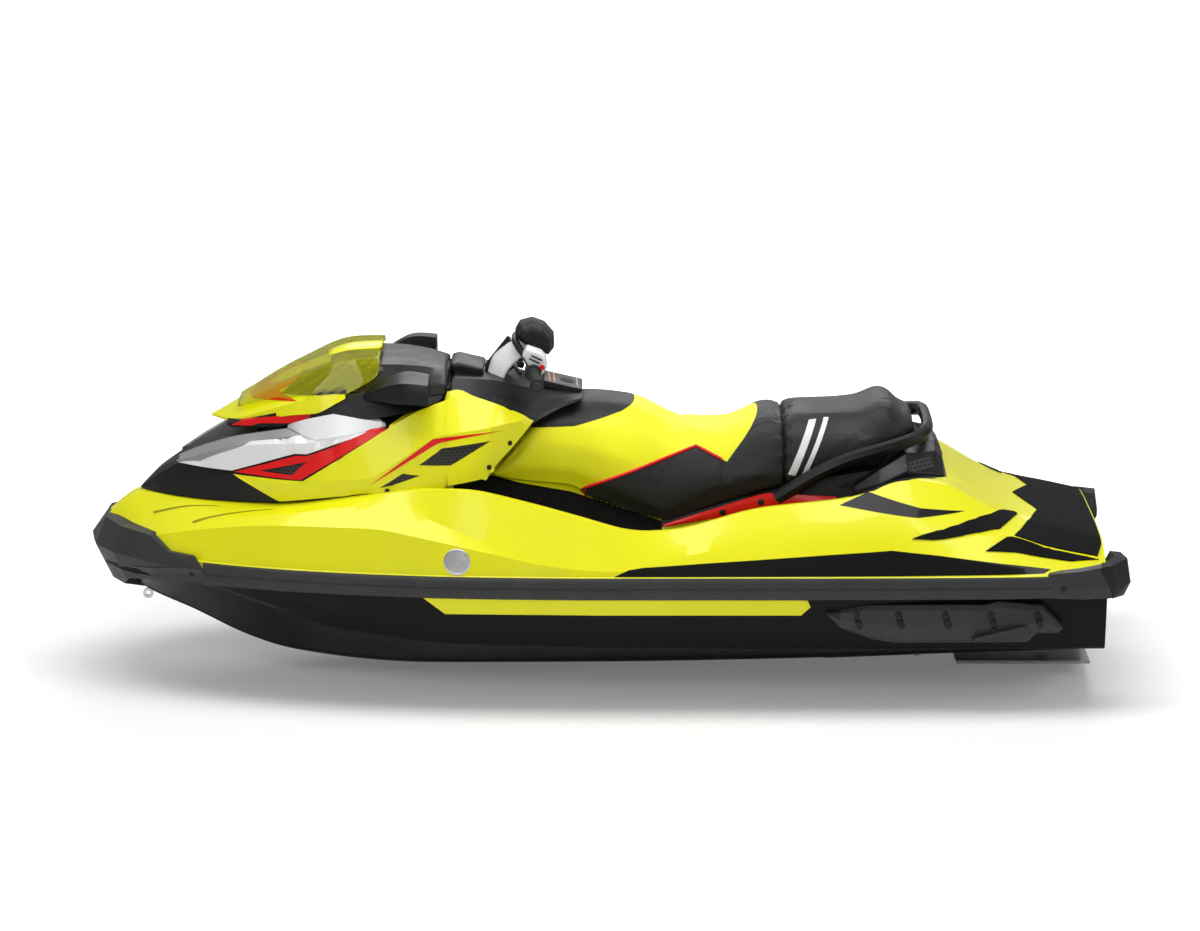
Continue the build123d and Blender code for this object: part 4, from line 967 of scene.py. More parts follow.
def make_hull_graphics(hull):
    """The yellow stripe under the rub rail."""
    stripe = [(562, 119), (492, 62), (-623, 62), (-652, 92), (-641, 118)]
    for name, side in SIDES:
        patch("hull_stripe_" + name, hull, stripe, "yellow_gelcoat", side, thick=0.8, lift=0.3)


# ---------------------------------------------------------------- deck graphics and mats
def make_deck_graphics(deck):
    """Black bands and flashes, mats, painted shade lines for the nose grooves, and the disc on each
    side of the deck.
    """
    above = lambda co, normal: normal.z > 0.15
    for name, side in SIDES:
        lines = {
            "side_band_": [(-36, 193), (-83, 214), (-130, 221), (-305, 234), (-492, 247),
                           (-711, 262), (-904, 274), (-1055, 256), (-1243, 228), (-1405, 206),
                           (-1380, 197), (-929, 195), (-500, 194)],
            "quarter_flash_": [(-744, 395), (-836, 430), (-1000, 382), (-1144, 362), (-988, 358)],
        }
        for label, outline in lines.items():
            patch(label + name, deck, outline, GRAPHIC_BLACK_AND_SLOT_SHADE, side, lift=0.8,
                  slot="black_cover", sharp=30)
        tops = {
            "quarter_pad_": [(-968, 550), (-1065, 508), (-1114, 479), (-1168, 437), (-1224, 380),
                             (-1284, 288), (-1309, 279), (-1320, 286), (-1297, 344), (-1274, 396),
                             (-1252, 440), (-1189, 482), (-1128, 512), (-1067, 533), (-1034, 541)],
            "stern_strip_": [(-1200, 538), (-1286, 470), (-1400, 474), (-1562, 462), (-1472, 503),
                             (-1300, 520)],
            "stern_mat_": [(-1330, 0), (-1394, 172), (-1362, 291), (-1322, 397), (-1296, 456),
                           (-1400, 460), (-1560, 446), (-1578, 380), (-1578, 0)],
            "footwell_mat_": [(452, 300), (452, 392), (240, 416), (60, 432), (-119, 440),
                              (-495, 408), (-770, 378), (-800, 300), (-495, 272), (60, 270),
                              (240, 276)],
        }
        for label, outline in tops.items():
            if side < 0:
                outline = mirrored(outline)
            patch(label + name, deck, outline, DECK_MAT, side, axis="top", thick=4.0, bevel=1.2,
                  limit=above, slot="rubber_black")
        patch("footwell_side_" + name, deck, [(500, 404), (352, 428), (297, 415), (262, 405),
                                              (100, 376), (-190, 282), (-196, 180), (500, 180)],
              DECK_MAT, side, thick=2.0, lift=0.4, slot="rubber_black",
              limit=lambda co, normal: 0.15 < co.y * side < 0.262 and normal.y * side > 0.2)
        # painted shade: a flat dark yellow line lies where each groove of the nose is
        for label, outline in (("fore_", [(1440, 160), (1436, 172), (1215, 277), (1218, 273)]),
                               ("aft_", [(1301, 310), (1297, 322), (1037, 368), (1040, 363)])):
            if side < 0:
                outline = mirrored(outline)
            patch("nose_groove_shade_" + label + name, deck, outline, GROOVE_SHADE, side, axis="top",
                  lift=0.6, slot="yellow_gelcoat", limit=above)
        spot_at, normal = ground(deck, 453, 236, side)
        profile = [(-4, 0), (-4, 42), (1.6, 42), (2.4, 40), (2.4, 36), (1.6, 35), (1.6, 0)]
        piece("side_disc_" + name, turned(profile, spot_at, normal, 48), "stainless")


# ---------------------------------------------------------------- front cowl and console
COWL_BASE = lane(
    (1492, 8, 342), (1431, 88, 346), (1362, 150, 350), (1283, 205, 352), (1175, 262, 358),
    (1036, 322, 366), (930, 352, 378), (762, 392, 408), (560, 404, 438), (494, 402, 440),
    (430, 388, 444), (368, 352, 452), (344, 336, 482), (217, 258, 614), (130, 190, 646),
    (64, 150, 664), smooth=False)
COWL_FOLD = lane(
    (1492, 7, 345), (1431, 84, 366), (1362, 146, 386), (1283, 200, 412), (1175, 256, 446),
    (1019, 340, 432), (724, 404, 465), (524, 400, 598), (368, 345, 610), (288, 304, 620),
    (217, 250, 624), (130, 172, 656), (64, 140, 668), smooth=False)
COWL_BROW = lane(
    (1492, 5, 347), (1431, 60, 398), (1362, 98, 448), (1175, 236, 530), (930, 345, 562),
    (670, 370, 616), (529, 338, 686), (458, 298, 704), (368, 250, 690), (217, 190, 664),
    (130, 140, 668), (64, 110, 672), smooth=False)
COWL_TOP = lane(
    (1492, 3, 348), (1431, 30, 410), (1362, 50, 455), (1283, 110, 500), (1175, 190, 548),
    (1036, 250, 582), (930, 282, 604), (762, 305, 626), (560, 290, 656), (494, 265, 664),
    (479, 180, 742), (344, 150, 728), (217, 120, 692), (130, 100, 680), (64, 80, 675),
    smooth=False)
COWL_SPLIT = 490.0      # the front cowl ends and the console starts here


def make_cowl():
    """The dark bodies of the front cowl and of the console behind it."""
    lines = [centre(COWL_BASE), COWL_BASE, COWL_FOLD, COWL_BROW, COWL_TOP, centre(COWL_TOP)]
    creases = [1, 1, 1, 1, 1, 0.3]
    front = stations(1492, 1431, 1362, 1283, 1175, 1036, 1019, 930, 762, 724, 670, 560, 529, 524,
                     494, COWL_SPLIT, spacing=40)
    rear = stations(COWL_SPLIT, 479, 458, 430, 368, 344, 288, 217, 130, 64, spacing=40)
    cowl = piece("cowl_body", whole(loft(lines, front, creases)), "black_cover", levels=1,
                 sharp=16, replaces=["front_cowl"])
    carve(cowl, block(*BOW_STORE))
    console = piece("console_body", whole(loft(lines, rear, creases)), "black_cover", levels=1,
                    sharp=16, replaces=["console"])
    settle_shading(cowl)
    settle_shading(console)
    return cowl, console


SIDE_COWL = [(1170, 445), (1019, 374), (762, 411), (494, 440), (366, 455), (340, 486),
             (219, 618), (290, 650), (458, 716), (529, 694), (666, 621), (944, 444)]
NOSE_INSERT = [(1366, 446), (1175, 455), (970, 528), (930, 530), (851, 560), (680, 620),
               (720, 640), (851, 652), (1175, 560), (1330, 472)]
NOSE_FACET = [(1364, 446), (1280, 467), (1194, 511), (1112, 545), (1071, 553), (1009, 564),
              (943, 580), (975, 640), (1175, 600), (1340, 490)]
SHOULDER_FOOT = lane(
    (995, 268, 602), (943, 320, 588), (900, 352, 578), (847, 360, 587), (762, 365, 604),
    (700, 353, 622), (684, 346, 628), smooth=False)
SHOULDER_RIDGE = lane(
    (995, 265, 606), (930, 304, 632), (847, 332, 654), (762, 346, 641), (684, 346, 630),
    smooth=False)
VENT_SURROUND = [(1166, 452), (952, 447), (672, 617), (734, 606), (851, 554), (930, 524),
                 (966, 522)]
PANEL = {"thick": 7, "bevel": 1.5}      # the same wall and edge for every painted panel
UPPER_VENT = [(576, 507), (505, 560), (352, 572), (476, 504)]
LOWER_VENT = [(702, 434), (626, 480), (572, 474), (664, 440)]
NOSE_VENT = [(1082, 465), (931, 506), (978, 461)]
SIDE_STRIPE = [(736, 440), (531, 592), (503, 594), (311, 602), (503, 580), (519, 576)]


def make_cowl_panels(cowl, console):
    """Painted panels, laid on the cowl and console as on one surface."""
    under = settled(cowl)
    mesh = bpy.data.meshes.new("under")
    settled(console).to_mesh(mesh)
    under.from_mesh(mesh)
    bmesh.ops.remove_doubles(under, verts=under.verts[:], dist=1e-4)
    under.to_mesh(mesh)
    under.free()
    base = add_object("cowl_under", mesh)
    for name, side in SIDES:
        def outboard(co, normal):
            """Leaves out the top of the nose, inboard of the cowl's upper edge."""
            return co.y * side > COWL_TOP(co.x / MM)[1] * MM and normal.y * side > -0.2

        patch("side_panel_" + name, base, SIDE_COWL, "yellow_gelcoat", side, **PANEL,
              holes=[UPPER_VENT, LOWER_VENT], replaces=["side_cowl_" + name])
        patch("nose_panel_" + name, base, NOSE_INSERT, "silver_panel", side, **PANEL,
              holes=[NOSE_FACET], limit=outboard, replaces=["nose_insert_" + name])
        # painted shade: the nose facet is the same silver panel, laid darker where it turns from the
        # light
        patch("nose_facet_shade_" + name, base, NOSE_FACET, SHADED_SILVER, side, thick=6.8, limit=outboard,
              slot="silver_panel")
        shoulder = loft([offset(SHOULDER_FOOT, -6, -8), SHOULDER_FOOT, SHOULDER_RIDGE,
                         offset(SHOULDER_RIDGE, -9, -22)],
                        stations(995, 943, 930, 900, 847, 762, 700, 684), [1, 1, 1, 1])
        walled(piece("nose_shoulder_" + name, on_side(shoulder, side), "silver_panel", sharp=16),
               2.5)
        patch("vent_panel_" + name, base, VENT_SURROUND, "red_panel", side, **PANEL,
              holes=[NOSE_VENT], replaces=["vent_surround_" + name])
        patch("side_stripe_" + name, base, SIDE_STRIPE, "red_panel", side, thick=0.6, lift=7.2)
        for label, outline in (("upper", UPPER_VENT), ("lower", LOWER_VENT), ("nose", NOSE_VENT)):
            patch(f"{label}_vent_mesh_{name}", base, grown(outline, 3), VENT_MESH, side, lift=1.5,
                  slot="black_cover")
        heads = bolts(base, ((676, 424), (295, 558), (360, 488)), side, 7.0, 5.5)
        piece("panel_bolts_" + name, heads, BLACK_BOLT)
    bpy.data.objects.remove(base)


def grown(outline, by):
    """The outline, scaled up about its middle by a few millimetres."""
    middle = [sum(values) / len(outline) for values in zip(*outline)]
    reach = max(math.hypot(u - middle[0], v - middle[1]) for u, v in outline)
    share = 1 + by / reach
    return [(middle[0] + (u - middle[0]) * share, middle[1] + (v - middle[1]) * share)
            for u, v in outline]


def mesh_finish():
    """Moulded mesh: raised bars, with painted shade in the open cells between them."""
    finish = Finish("vent_mesh", (0.03, 0.03, 0.03), 0.45)
    mapping = finish.node("ShaderNodeMapping")
    mapping.inputs["Rotation"].default_value = (math.radians(90), 0, 0)
    finish.link(finish.coords, mapping.inputs["Vector"])
    bars = finish.node("ShaderNodeTexBrick", offset=0.5)
    bars.inputs["Scale"].default_value = 1.0
    bars.inputs["Brick Width"].default_value = 0.016
    bars.inputs["Row Height"].default_value = 0.010
    bars.inputs["Mortar Size"].default_value = 0.0022
    bars.inputs["Mortar Smooth"].default_value = 0.3
    finish.link(mapping.outputs["Vector"], bars.inputs["Vector"])
    finish.mottle(0.1, 20.0)
    # painted shade: the open cells are laid near black where the dark space behind would show
    finish.tint(finish.math("SUBTRACT", 1.0, bars.outputs["Fac"]), (0.002, 0.002, 0.002))
    return finish.bump(bars.outputs["Fac"], 0.9, 0.004).material


VENT_MESH = mesh_finish()


# ---------------------------------------------------------------- hood
HOOD_EDGE = lane(
    (1200, 150, 578), (1070, 235, 592), (970, 275, 612), (811, 318, 636), (676, 335, 648),
    (560, 300, 672), (495, 255, 694))
HOOD_SIDE = lane(
    (1200, 145, 584), (1070, 225, 625), (970, 262, 668), (811, 290, 704), (676, 298, 716),
    (560, 258, 728), (495, 230, 730))
HOOD_TOP = lane(
    (1200, 60, 600), (1070, 120, 672), (970, 150, 720), (811, 180, 780), (676, 170, 784),
    (560, 150, 772), (495, 130, 756))
HOOD_RIDGE = lane(
    (1200, 0, 604), (1070, 0, 680), (970, 0, 728), (811, 0, 788), (676, 0, 790),
    (560, 0, 778), (495, 0, 758))


def make_hood():
    """The dark hood, with a liner below its rim, red trim and a facet beside the mirrors."""
    places = stations(1200, 1070, 970, 811, 676, 560, 495, spacing=35)
    bm = across_both(loft([HOOD_EDGE, HOOD_SIDE, HOOD_TOP, HOOD_RIDGE], places, [1, 1, 0.9, 0.2]))
    hood = piece("hood_shell", bm, "black_cover", "hood_assembly", ["hood"], levels=1, sharp=16)
    walled(hood, 12)
    rim = offset(HOOD_EDGE, -22, 6)
    tray = offset(rim, -50, 26)
    behind_beak = places[:places.index(1070) + 1]
    bm = across_both(loft([rim, tray, centre(tray)], behind_beak, [1, 1, 0]))
    walled(piece("hood_liner", bm, "black_cover", "hood_assembly"), 4)
    trim = [(1185, 582), (1140, 606), (1075, 622), (917, 652), (930, 628), (975, 614), (1081, 603),
            (1120, 590)]
    facet = [(800, 712), (700, 722), (560, 700), (500, 704), (500, 728), (600, 752), (740, 770),
             (800, 770)]
    for name, side in SIDES:
        patch("hood_trim_" + name, hood, trim, "red_panel", side, thick=1.2, body="hood_assembly")
        patch("hood_facet_" + name, hood, facet, "rubber_black", side, thick=3.0, bevel=1.0,
              body="hood_assembly")
    return hood


BEAK_EDGE = lane((1259, 5, 580), (1202, 100, 584), (1157, 165, 592), (985, 275, 640),
                 (897, 300, 650), (811, 306, 700), smooth=False)
BEAK_BROW = lane((1259, 4, 584), (1202, 98, 592), (1157, 160, 606), (985, 268, 676),
                 (897, 288, 706), (811, 292, 716), smooth=False)
BEAK_TOP = lane((1259, 3, 586), (1202, 50, 612), (1070, 125, 684), (970, 160, 730),
                (811, 190, 790))
BEAK_RIDGE = lane((1259, 0, 588), (1202, 0, 618), (1070, 0, 690), (970, 0, 738), (811, 0, 798))


def make_beak():
    """The yellow nose of the hood."""
    places = stations(1259, 1202, 1157, 1070, 985, 897, 811, spacing=30)
    bm = loft([centre(BEAK_EDGE), BEAK_EDGE, BEAK_BROW, BEAK_TOP, BEAK_RIDGE], places,
              [1, 1, 1, 0.9, 0.2])
    beak = piece("beak_shell", whole(bm), "yellow_gelcoat", "hood_assembly", ["nose_beak"],
                 levels=1, sharp=16)
    settle_shading(beak)
    return beak


def louvre_finish():
    """Black slats: dark bands that lean with the screen."""
    finish = Finish("louvres", (0.012, 0.012, 0.012), 0.4, Specular_IOR_Level=0.3)
    mapping = finish.node("ShaderNodeMapping")
    mapping.inputs["Rotation"].default_value = (0, math.radians(58), 0)
    finish.link(finish.coords, mapping.inputs["Vector"])
    slats = finish.node("ShaderNodeTexWave", wave_type="BANDS", bands_direction="X", Scale=16.0,
                        Distortion=0.0)
    finish.link(mapping.outputs["Vector"], slats.inputs["Vector"])
    finish.tint(finish.span(slats.outputs["Fac"], 0.0, 1.0, 0.55, 0.75), (0.09, 0.09, 0.03))
    return finish.bump(slats.outputs["Fac"], 0.8, 0.006).material


LOUVRES = louvre_finish()


def make_visor(beak, hood):
    """Tinted screen over black louvres."""
    edge = lane((1168, 118, 634), (1026, 214, 690), (966, 268, 681), (921, 286, 700),
                (803, 296, 712), (707, 284, 770), smooth=False)
    top = lane((1168, 66, 640), (1070, 132, 694), (970, 168, 742), (811, 198, 802),
               (700, 182, 808))
    ridge = lane((1168, 0, 642), (1070, 0, 700), (970, 0, 748), (811, 0, 808), (760, 0, 812),
                 (700, 0, 812))
    places = stations(1168, 1070, 1026, 970, 921, 811, 707, spacing=30)
    lines = [edge, between(edge, top, 0.5, 4, 3), top, ridge]
    bm = across_both(loft(lines, places, [1, 0, 1, 0.1]))
    screen = piece("visor_screen", bm, "visor_tint", "hood_assembly", ["visor"], levels=1, sharp=24)
    walled(screen, 3)
    outline = [(1022, 691), (921, 703), (845, 712), (700, 716), (690, 770), (720, 786), (800, 806),
               (872, 790), (950, 746)]
    for name, side in SIDES:
        for label, source in (("fore", beak), ("aft", hood)):
            patch(f"louvre_{label}_{name}", source, outline, LOUVRES, side, thick=1.5, lift=0.4,
                  body="hood_assembly", slot="black_cover",
                  limit=lambda co, normal: co.y * side > 0.045)
        patch("beak_flash_" + name, beak, [(1150, 652), (945, 745), (1028, 694), (966, 684)],
              "red_panel", side, thick=0.8, body="hood_assembly")
    strip = loft([lane((880, 52, 784), (811, 60, 808), (705, 62, 814)),
                  lane((880, 26, 790), (811, 30, 815), (705, 32, 821)),
                  lane((880, 0, 790), (811, 0, 816), (705, 0, 822))],
                 stations(880, 811, 705, spacing=35), [1, 0.8, 0.2])
    walled(piece("visor_spine", across_both(strip), "yellow_gelcoat", "hood_assembly", levels=1), 6)


MIRROR_RINGS = [
    [(762, 262, 690), (762, 292, 692), (762, 290, 706), (762, 264, 710)],
    [(700, 262, 694), (700, 352, 700), (700, 348, 742), (700, 266, 750)],
    [(650, 268, 694), (650, 402, 700), (650, 396, 766), (650, 272, 778)],
    [(612, 274, 698), (612, 424, 704), (612, 418, 774), (612, 280, 790)],
    [(544, 286, 698), (544, 428, 700), (544, 420, 766), (544, 292, 778)],
]


def make_mirrors():
    """A mirror housing on each side of the hood, with a sunk glass bed, and its arm."""
    for name, side in SIDES:
        bm, crease = blank()
        ring = [bm.verts.new(place(point)) for point in MIRROR_RINGS[0]]
        edges = [bm.edges.new(pair) for pair in in_pairs(ring, closed=True)]
        for points in MIRROR_RINGS[1:]:
            ring, rails = extruded(bm, ring, edges)
            for vert, rail, point in zip(ring, rails, points):
                vert.co = place(point)
                rail[crease] = 0.7
            edges = [bm.edges.get(pair) for pair in in_pairs(ring, closed=True)]
        close(bm, 0.8)
        rear = max(bm.faces, key=lambda face: -face.calc_center_median().x)
        rim = bmesh.ops.inset_individual(bm, faces=[rear], thickness=9 * MM)["faces"]
        for edge in {edge for face in rim for edge in face.edges}:
            edge[crease] = HARD_CREASE
        pocket = bmesh.ops.extrude_discrete_faces(bm, faces=[rear])["faces"][0]
        for vert in pocket.verts:
            vert.co.x += 7 * MM
        on_side(bm, side)
        bmesh.ops.recalc_face_normals(bm, faces=bm.faces[:])
        piece("mirror_housing_" + name, bm, "black_cover", "hood_assembly", ["mirror_" + name],
              levels=2, sharp=30)
        arm = slab([(700, 700), (690, 716), (560, 742), (540, 738), (560, 716), (640, 694)],
                   [(side * 236, 1.0), (side * 262, 0.96), (side * 292, 0.86)], drawn)
        piece("mirror_arm_" + name, arm, "black_cover", "hood_assembly", bevel=4.0, segments=3)


# ---------------------------------------------------------------- steering
STEER_BASE = (352.0, 0.0, 742.0)
STEER_LEAN = math.radians(38.0)
BAR_POINTS = [(-105, 385, 105), (-72, 190, 112), (0, 70, 118)]      # from one end to the middle
RIBS = 9                # on each grip
RIB_STEP = 12


def steer(x, y, z):
    """A place in the steering's own frame: x across the lean, z up the axis."""
    return place((STEER_BASE[0] + x * math.cos(STEER_LEAN) - z * math.sin(STEER_LEAN), y,
                  STEER_BASE[2] + x * math.sin(STEER_LEAN) + z * math.cos(STEER_LEAN)))


def along_bar(y):
    """A place in the steering's frame on the straight outer run of the bar."""
    end, start = BAR_POINTS[0], BAR_POINTS[1]
    share = (abs(y) - start[1]) / (end[1] - start[1])
    return start[0] + share * (end[0] - start[0]), y, start[2] + share * (end[2] - start[2])


def make_steering_cover():
    """The soft bar pad, the white fairing in front of it, and the clamp between them."""
    pad = slab([(-6, 200), (-44, 212), (-88, 204), (-112, 176), (-112, 146), (-64, 132), (-12, 128),
                (14, 138), (18, 168)],
               [(-92, 0.60), (-84, 0.82), (-46, 0.98), (-40, 1.03), (40, 1.03), (46, 0.98),
                (84, 0.82), (92, 0.60)],
               steer)
    soft = piece("bar_pad_cushion", pad, "rubber_black", "steering", ["bar_pad"], bevel=4.0,
                 angle=8, sharp=24)
    fairing, _ = blank()
    bmesh.ops.create_grid(fairing, x_segments=12, y_segments=14, size=1.0)
    front = lane((-24, 0, 10), (30, 0, 26), (96, 0, 18), (128, 0, 8), (152, 0, -2))
    for vert in fairing.verts:
        u, v = vert.co.x, vert.co.y
        up = 63 + 88 * v
        bow = 1 - abs(u) ** 2.4
        half = 74 - 14 * v
        forward = front(up)[2]
        vert.co = steer(forward - 58 * (1 - bow) - 4, half * u, up - 16 * abs(u) * max(v, 0))
    walled(piece("steering_fairing", fairing, "white_cover", "steering", ["steering_cover"],
                 levels=1), 9)
    core = slab([(-46, 20), (-20, 18), (-14, 60), (-24, 122), (-44, 134), (-66, 120), (-62, 70)],
                [(-46, 0.86), (-40, 1.0), (40, 1.0), (46, 0.86)], steer)
    piece("steering_clamp", core, "black_cover", "steering", bevel=3.0, segments=3)
    flashes = []
    for side in (1, -1):
        flashes.append(slab([(-44, 88), (-22, 92), (-24, 118), (-46, 114)],
                            [(side * 46, 1.0), (side * 52, 0.8)], steer))
        flashes.append(slab([(-52, 118), (-38, 122), (-42, 134), (-58, 130)],
                            [(side * 60, 1.0), (side * 66, 0.8)], steer))
    piece("steering_flashes", join(*flashes), "yellow_gelcoat", "steering", bevel=1.0)


def make_switches():
    """A switch block at the inner end of each grip, with slots and a button."""
    housings, faces, buttons, slots = [], [], [], []
    for side in (1, -1):
        outline = [(-22, 156), (-68, 172), (-90, 168), (-112, 146), (-116, 124), (-98, 112),
                   (-58, 116), (-26, 128)]
        housings.append(slab(outline, [(side * 178, 0.8), (side * 186, 1.0), (side * 248, 1.0),
                                       (side * 256, 0.84)], steer))
        faces.append(slab([(-62, 92), (-104, 90), (-112, 118), (-60, 122)],
                          [(side * 182, 0.9), (side * 190, 1.0), (side * 244, 1.0),
                           (side * 252, 0.9)], steer))
        for row in (0, 1):
            down = row * 12
            slots.append(slab([(-48, 150 - down), (-84, 158 - down), (-84, 153 - down),
                               (-48, 145 - down)], [(side * 250, 1.0), (side * 258, 1.0)], steer))
        out = steer(-60, side * 400, 140) - steer(-60, side * 300, 140)
        buttons.append(turned([(-2, 0), (-2, 9), (4, 9), (6, 7.5), (6.6, 0)],
                              steer(-98, side * 255, 138), out, 24))
    piece("switch_blocks", join(*housings), "white_cover", "steering", ["switch_housings"],
          bevel=4.0, segments=3)
    piece("switch_bases", join(*faces), "black_cover", "steering", bevel=3.0)
    piece("switch_slots", join(*slots), "rubber_black", "steering")
    piece("switch_buttons", join(*buttons), "red_panel", "steering")


def make_bar():
    """The bar itself, with ribbed grips, end caps and levers."""
    grips, ends, levers = [], [], []
    for side in (1, -1):
        inner, outer = steer(*along_bar(side * 262)), steer(*along_bar(side * 392))
        way = outer - inner
        profile = [(0, 11), (0, 26), (5, 27), (8, 24), (9, 17.5)]
        for start in range(14, 14 + RIBS * RIB_STEP, RIB_STEP):
            profile += [(start, 17.5), (start + 2, 18.8), (start + 7, 18.8), (start + 9, 17.5)]
        profile += [(125, 18), (127, 23), (132, 23), (134, 21), (134, 12)]
        grips.append(turned(profile, inner, way, 32))
        cap = [(128, 0), (128, 13.5), (136, 13.5), (138, 12), (138, 5), (135, 4), (135, 0)]
        ends.append(turned(cap, inner, way, 28))
        points = [steer(x, side * y, z) for x, y, z in ((-48, 222, 100), (-30, 246, 98),
                                                        (-22, 290, 98), (-26, 340, 98),
                                                        (-44, 372, 100))]
        levers.append(tube(points, 6.5, wide=1.5, taper=lambda share: 1.15 - 0.35 * share))
    piece("grip_sleeves", join(*grips), GRIP_RUBBER, "steering", ["grips"],
          sharp=50)
    piece("grip_ends", join(*ends), "bumper_grey", "steering")
    piece("lever_blades", join(*levers), "black_cover", "steering", ["levers"])
    bar = [steer(x, -y, z) for x, y, z in BAR_POINTS]
    bar += [steer(x, y, z) for x, y, z in reversed(BAR_POINTS)]
    bar.insert(3, (bar[2] + bar[3]) / 2)
    piece("bar_tube", tube(bar, 11, steps=20), "black_cover", "steering", ["handlebar"])


# ---------------------------------------------------------------- console fittings
def make_console_fittings(console):
    """Glovebox lid, gauge, the wall under the hood, and grip cells beside the console."""
    lid = slab([(196, 704), (186, 712), (66, 684), (64, 678), (74, 668), (190, 690)],
               [(-84, 0.96), (-80, 1.0), (80, 1.0), (84, 0.96)], drawn)
    top = piece("glovebox_cover", lid, "black_cover", "glovebox", ["glovebox_lid"], bevel=3.0,
                segments=3)
    recess = [(112 + 22 * math.cos(turn * math.pi / 12), 26 * math.sin(turn * math.pi / 12))
              for turn in range(24)]
    patch("glovebox_latch", top, recess, "rubber_black", axis="top", thick=1.5, bevel=0.5,
          body="glovebox", limit=lambda co, normal: normal.z > 0.5)
    strips = ((176, COPPER, "stainless"), (160, COPPER, "stainless"),
              (86, SHADED_SILVER, "silver_panel"))
    for i, (x, finish, slot) in enumerate(strips):
        strip = [(x, -72), (x - 5, -72), (x - 11, 72), (x - 6, 72)]
        patch(f"glovebox_strip_{i}", top, strip, finish, axis="top", thick=1.0, body="glovebox",
              slot=slot, limit=lambda co, normal: normal.z > 0.5)
    gauge = slab([(486, 730), (380, 720), (378, 752), (462, 772), (484, 766)],
                 [(-97, 0.8), (-88, 1.0), (88, 1.0), (97, 0.8)], drawn)
    piece("gauge_hood", gauge, "black_cover", replaces=["gauge"], bevel=4.0, segments=3)
    screen = slab([(379.5, 726), (377.5, 726), (376, 747), (378, 747)], [(-72, 1.0), (72, 1.0)],
                  drawn)
    piece("gauge_screen", screen, "mirror_glass", bevel=0.5)
    scuttle = slab([(500, 640), (484, 640), (483, 722), (500, 716)], [(-236, 1.0), (236, 1.0)],
                   drawn)
    piece("scuttle_wall", scuttle, "black_cover", bevel=2.0)
    for name, side in SIDES:
        cells = []
        for row in range(2):
            for i in range(6):
                x = 424 - 22 * i - 11 * row
                spot_at, normal = ground(console, x, 700 - 4.6 * i - 12 * row, side, lift=0.2)
                if spot_at.y * side > 0.1:
                    profile = [(-2, 0), (-2, 10), (0.6, 10), (2.4, 7), (2.4, 0)]
                    cells.append(turned(profile, spot_at, normal, 6))
        piece("console_grip_cells_" + name, join(*cells), "rubber_black")


# ---------------------------------------------------------------- seats
SEAT_EDGE = lane(
    (352, 236, 428), (102, 232, 374), (-190, 246, 280), (-519, 250, 388), (-580, 252, 402),
    smooth=False)
SEAT_SIDE = lane(
    (352, 236, 432), (217, 232, 560), (58, 222, 560), (-190, 230, 452), (-413, 238, 460),
    (-580, 240, 500), smooth=False)
SEAT_SHOULDER = lane(
    (352, 232, 436), (217, 205, 600), (130, 165, 628), (58, 130, 640), (-110, 130, 622),
    (-252, 158, 548), (-413, 170, 542), (-510, 172, 596), (-580, 172, 598))
SEAT_TOP = lane(
    (352, 0, 442), (217, 0, 604), (130, 0, 630), (58, 0, 655), (-110, 0, 637), (-187, 0, 600),
    (-252, 0, 570), (-333, 0, 558), (-413, 0, 562), (-462, 0, 590), (-510, 0, 612),
    (-580, 0, 610))
PILLION_EDGE = lane(
    (-580.5, 252, 404), (-740, 248, 470), (-870, 240, 520), (-960, 200, 548), (-1003, 150, 560))
PILLION_SIDE = lane(
    (-580.5, 240, 502), (-740, 238, 520), (-870, 230, 556), (-960, 190, 580), (-1003, 140, 580))
PILLION_SHOULDER = lane(
    (-580.5, 172, 600), (-740, 175, 604), (-832, 172, 614), (-893, 166, 644), (-925, 156, 640),
    (-950, 150, 606), (-1003, 110, 588))
PILLION_TOP = lane(
    (-580.5, 0, 612), (-740, 0, 618), (-832, 0, 628), (-893, 0, 656), (-925, 0, 652),
    (-950, 0, 618), (-1003, 0, 596))
SWELL = 7.0             # how far the covers may rise from their first shape
VOXEL = 6.5             # spacing of the cloth's threads
SHRINK = 3.0            # how far the cloth starts inside that shape
PRESSURE_FRAMES = 16
PRESSURE = 4.0
CLOTH_QUALITY = 3
CLOTH_MASS = 0.3
CLOTH_STRETCH = 40.0
CLOTH_BEND = 4.0
HOLLOW = [(226, 200), (226, 434), (180, 460), (-180, 460), (-226, 434), (-226, 200)]


def seat_hollow(start, end):
    """The room inside a seat for the pedestal that it sits on."""
    bm = bmesh.new()
    face = bm.faces.new([bm.verts.new(place((start, y, z))) for y, z in HOLLOW])
    made = bmesh.ops.extrude_discrete_faces(bm, faces=[face])["faces"]
    for vert in made[0].verts:
        vert.co.x = place((end, 0, 0)).x
    bmesh.ops.holes_fill(bm, edges=bm.edges[:])
    bmesh.ops.recalc_face_normals(bm, faces=bm.faces[:])
    return tool(bm)


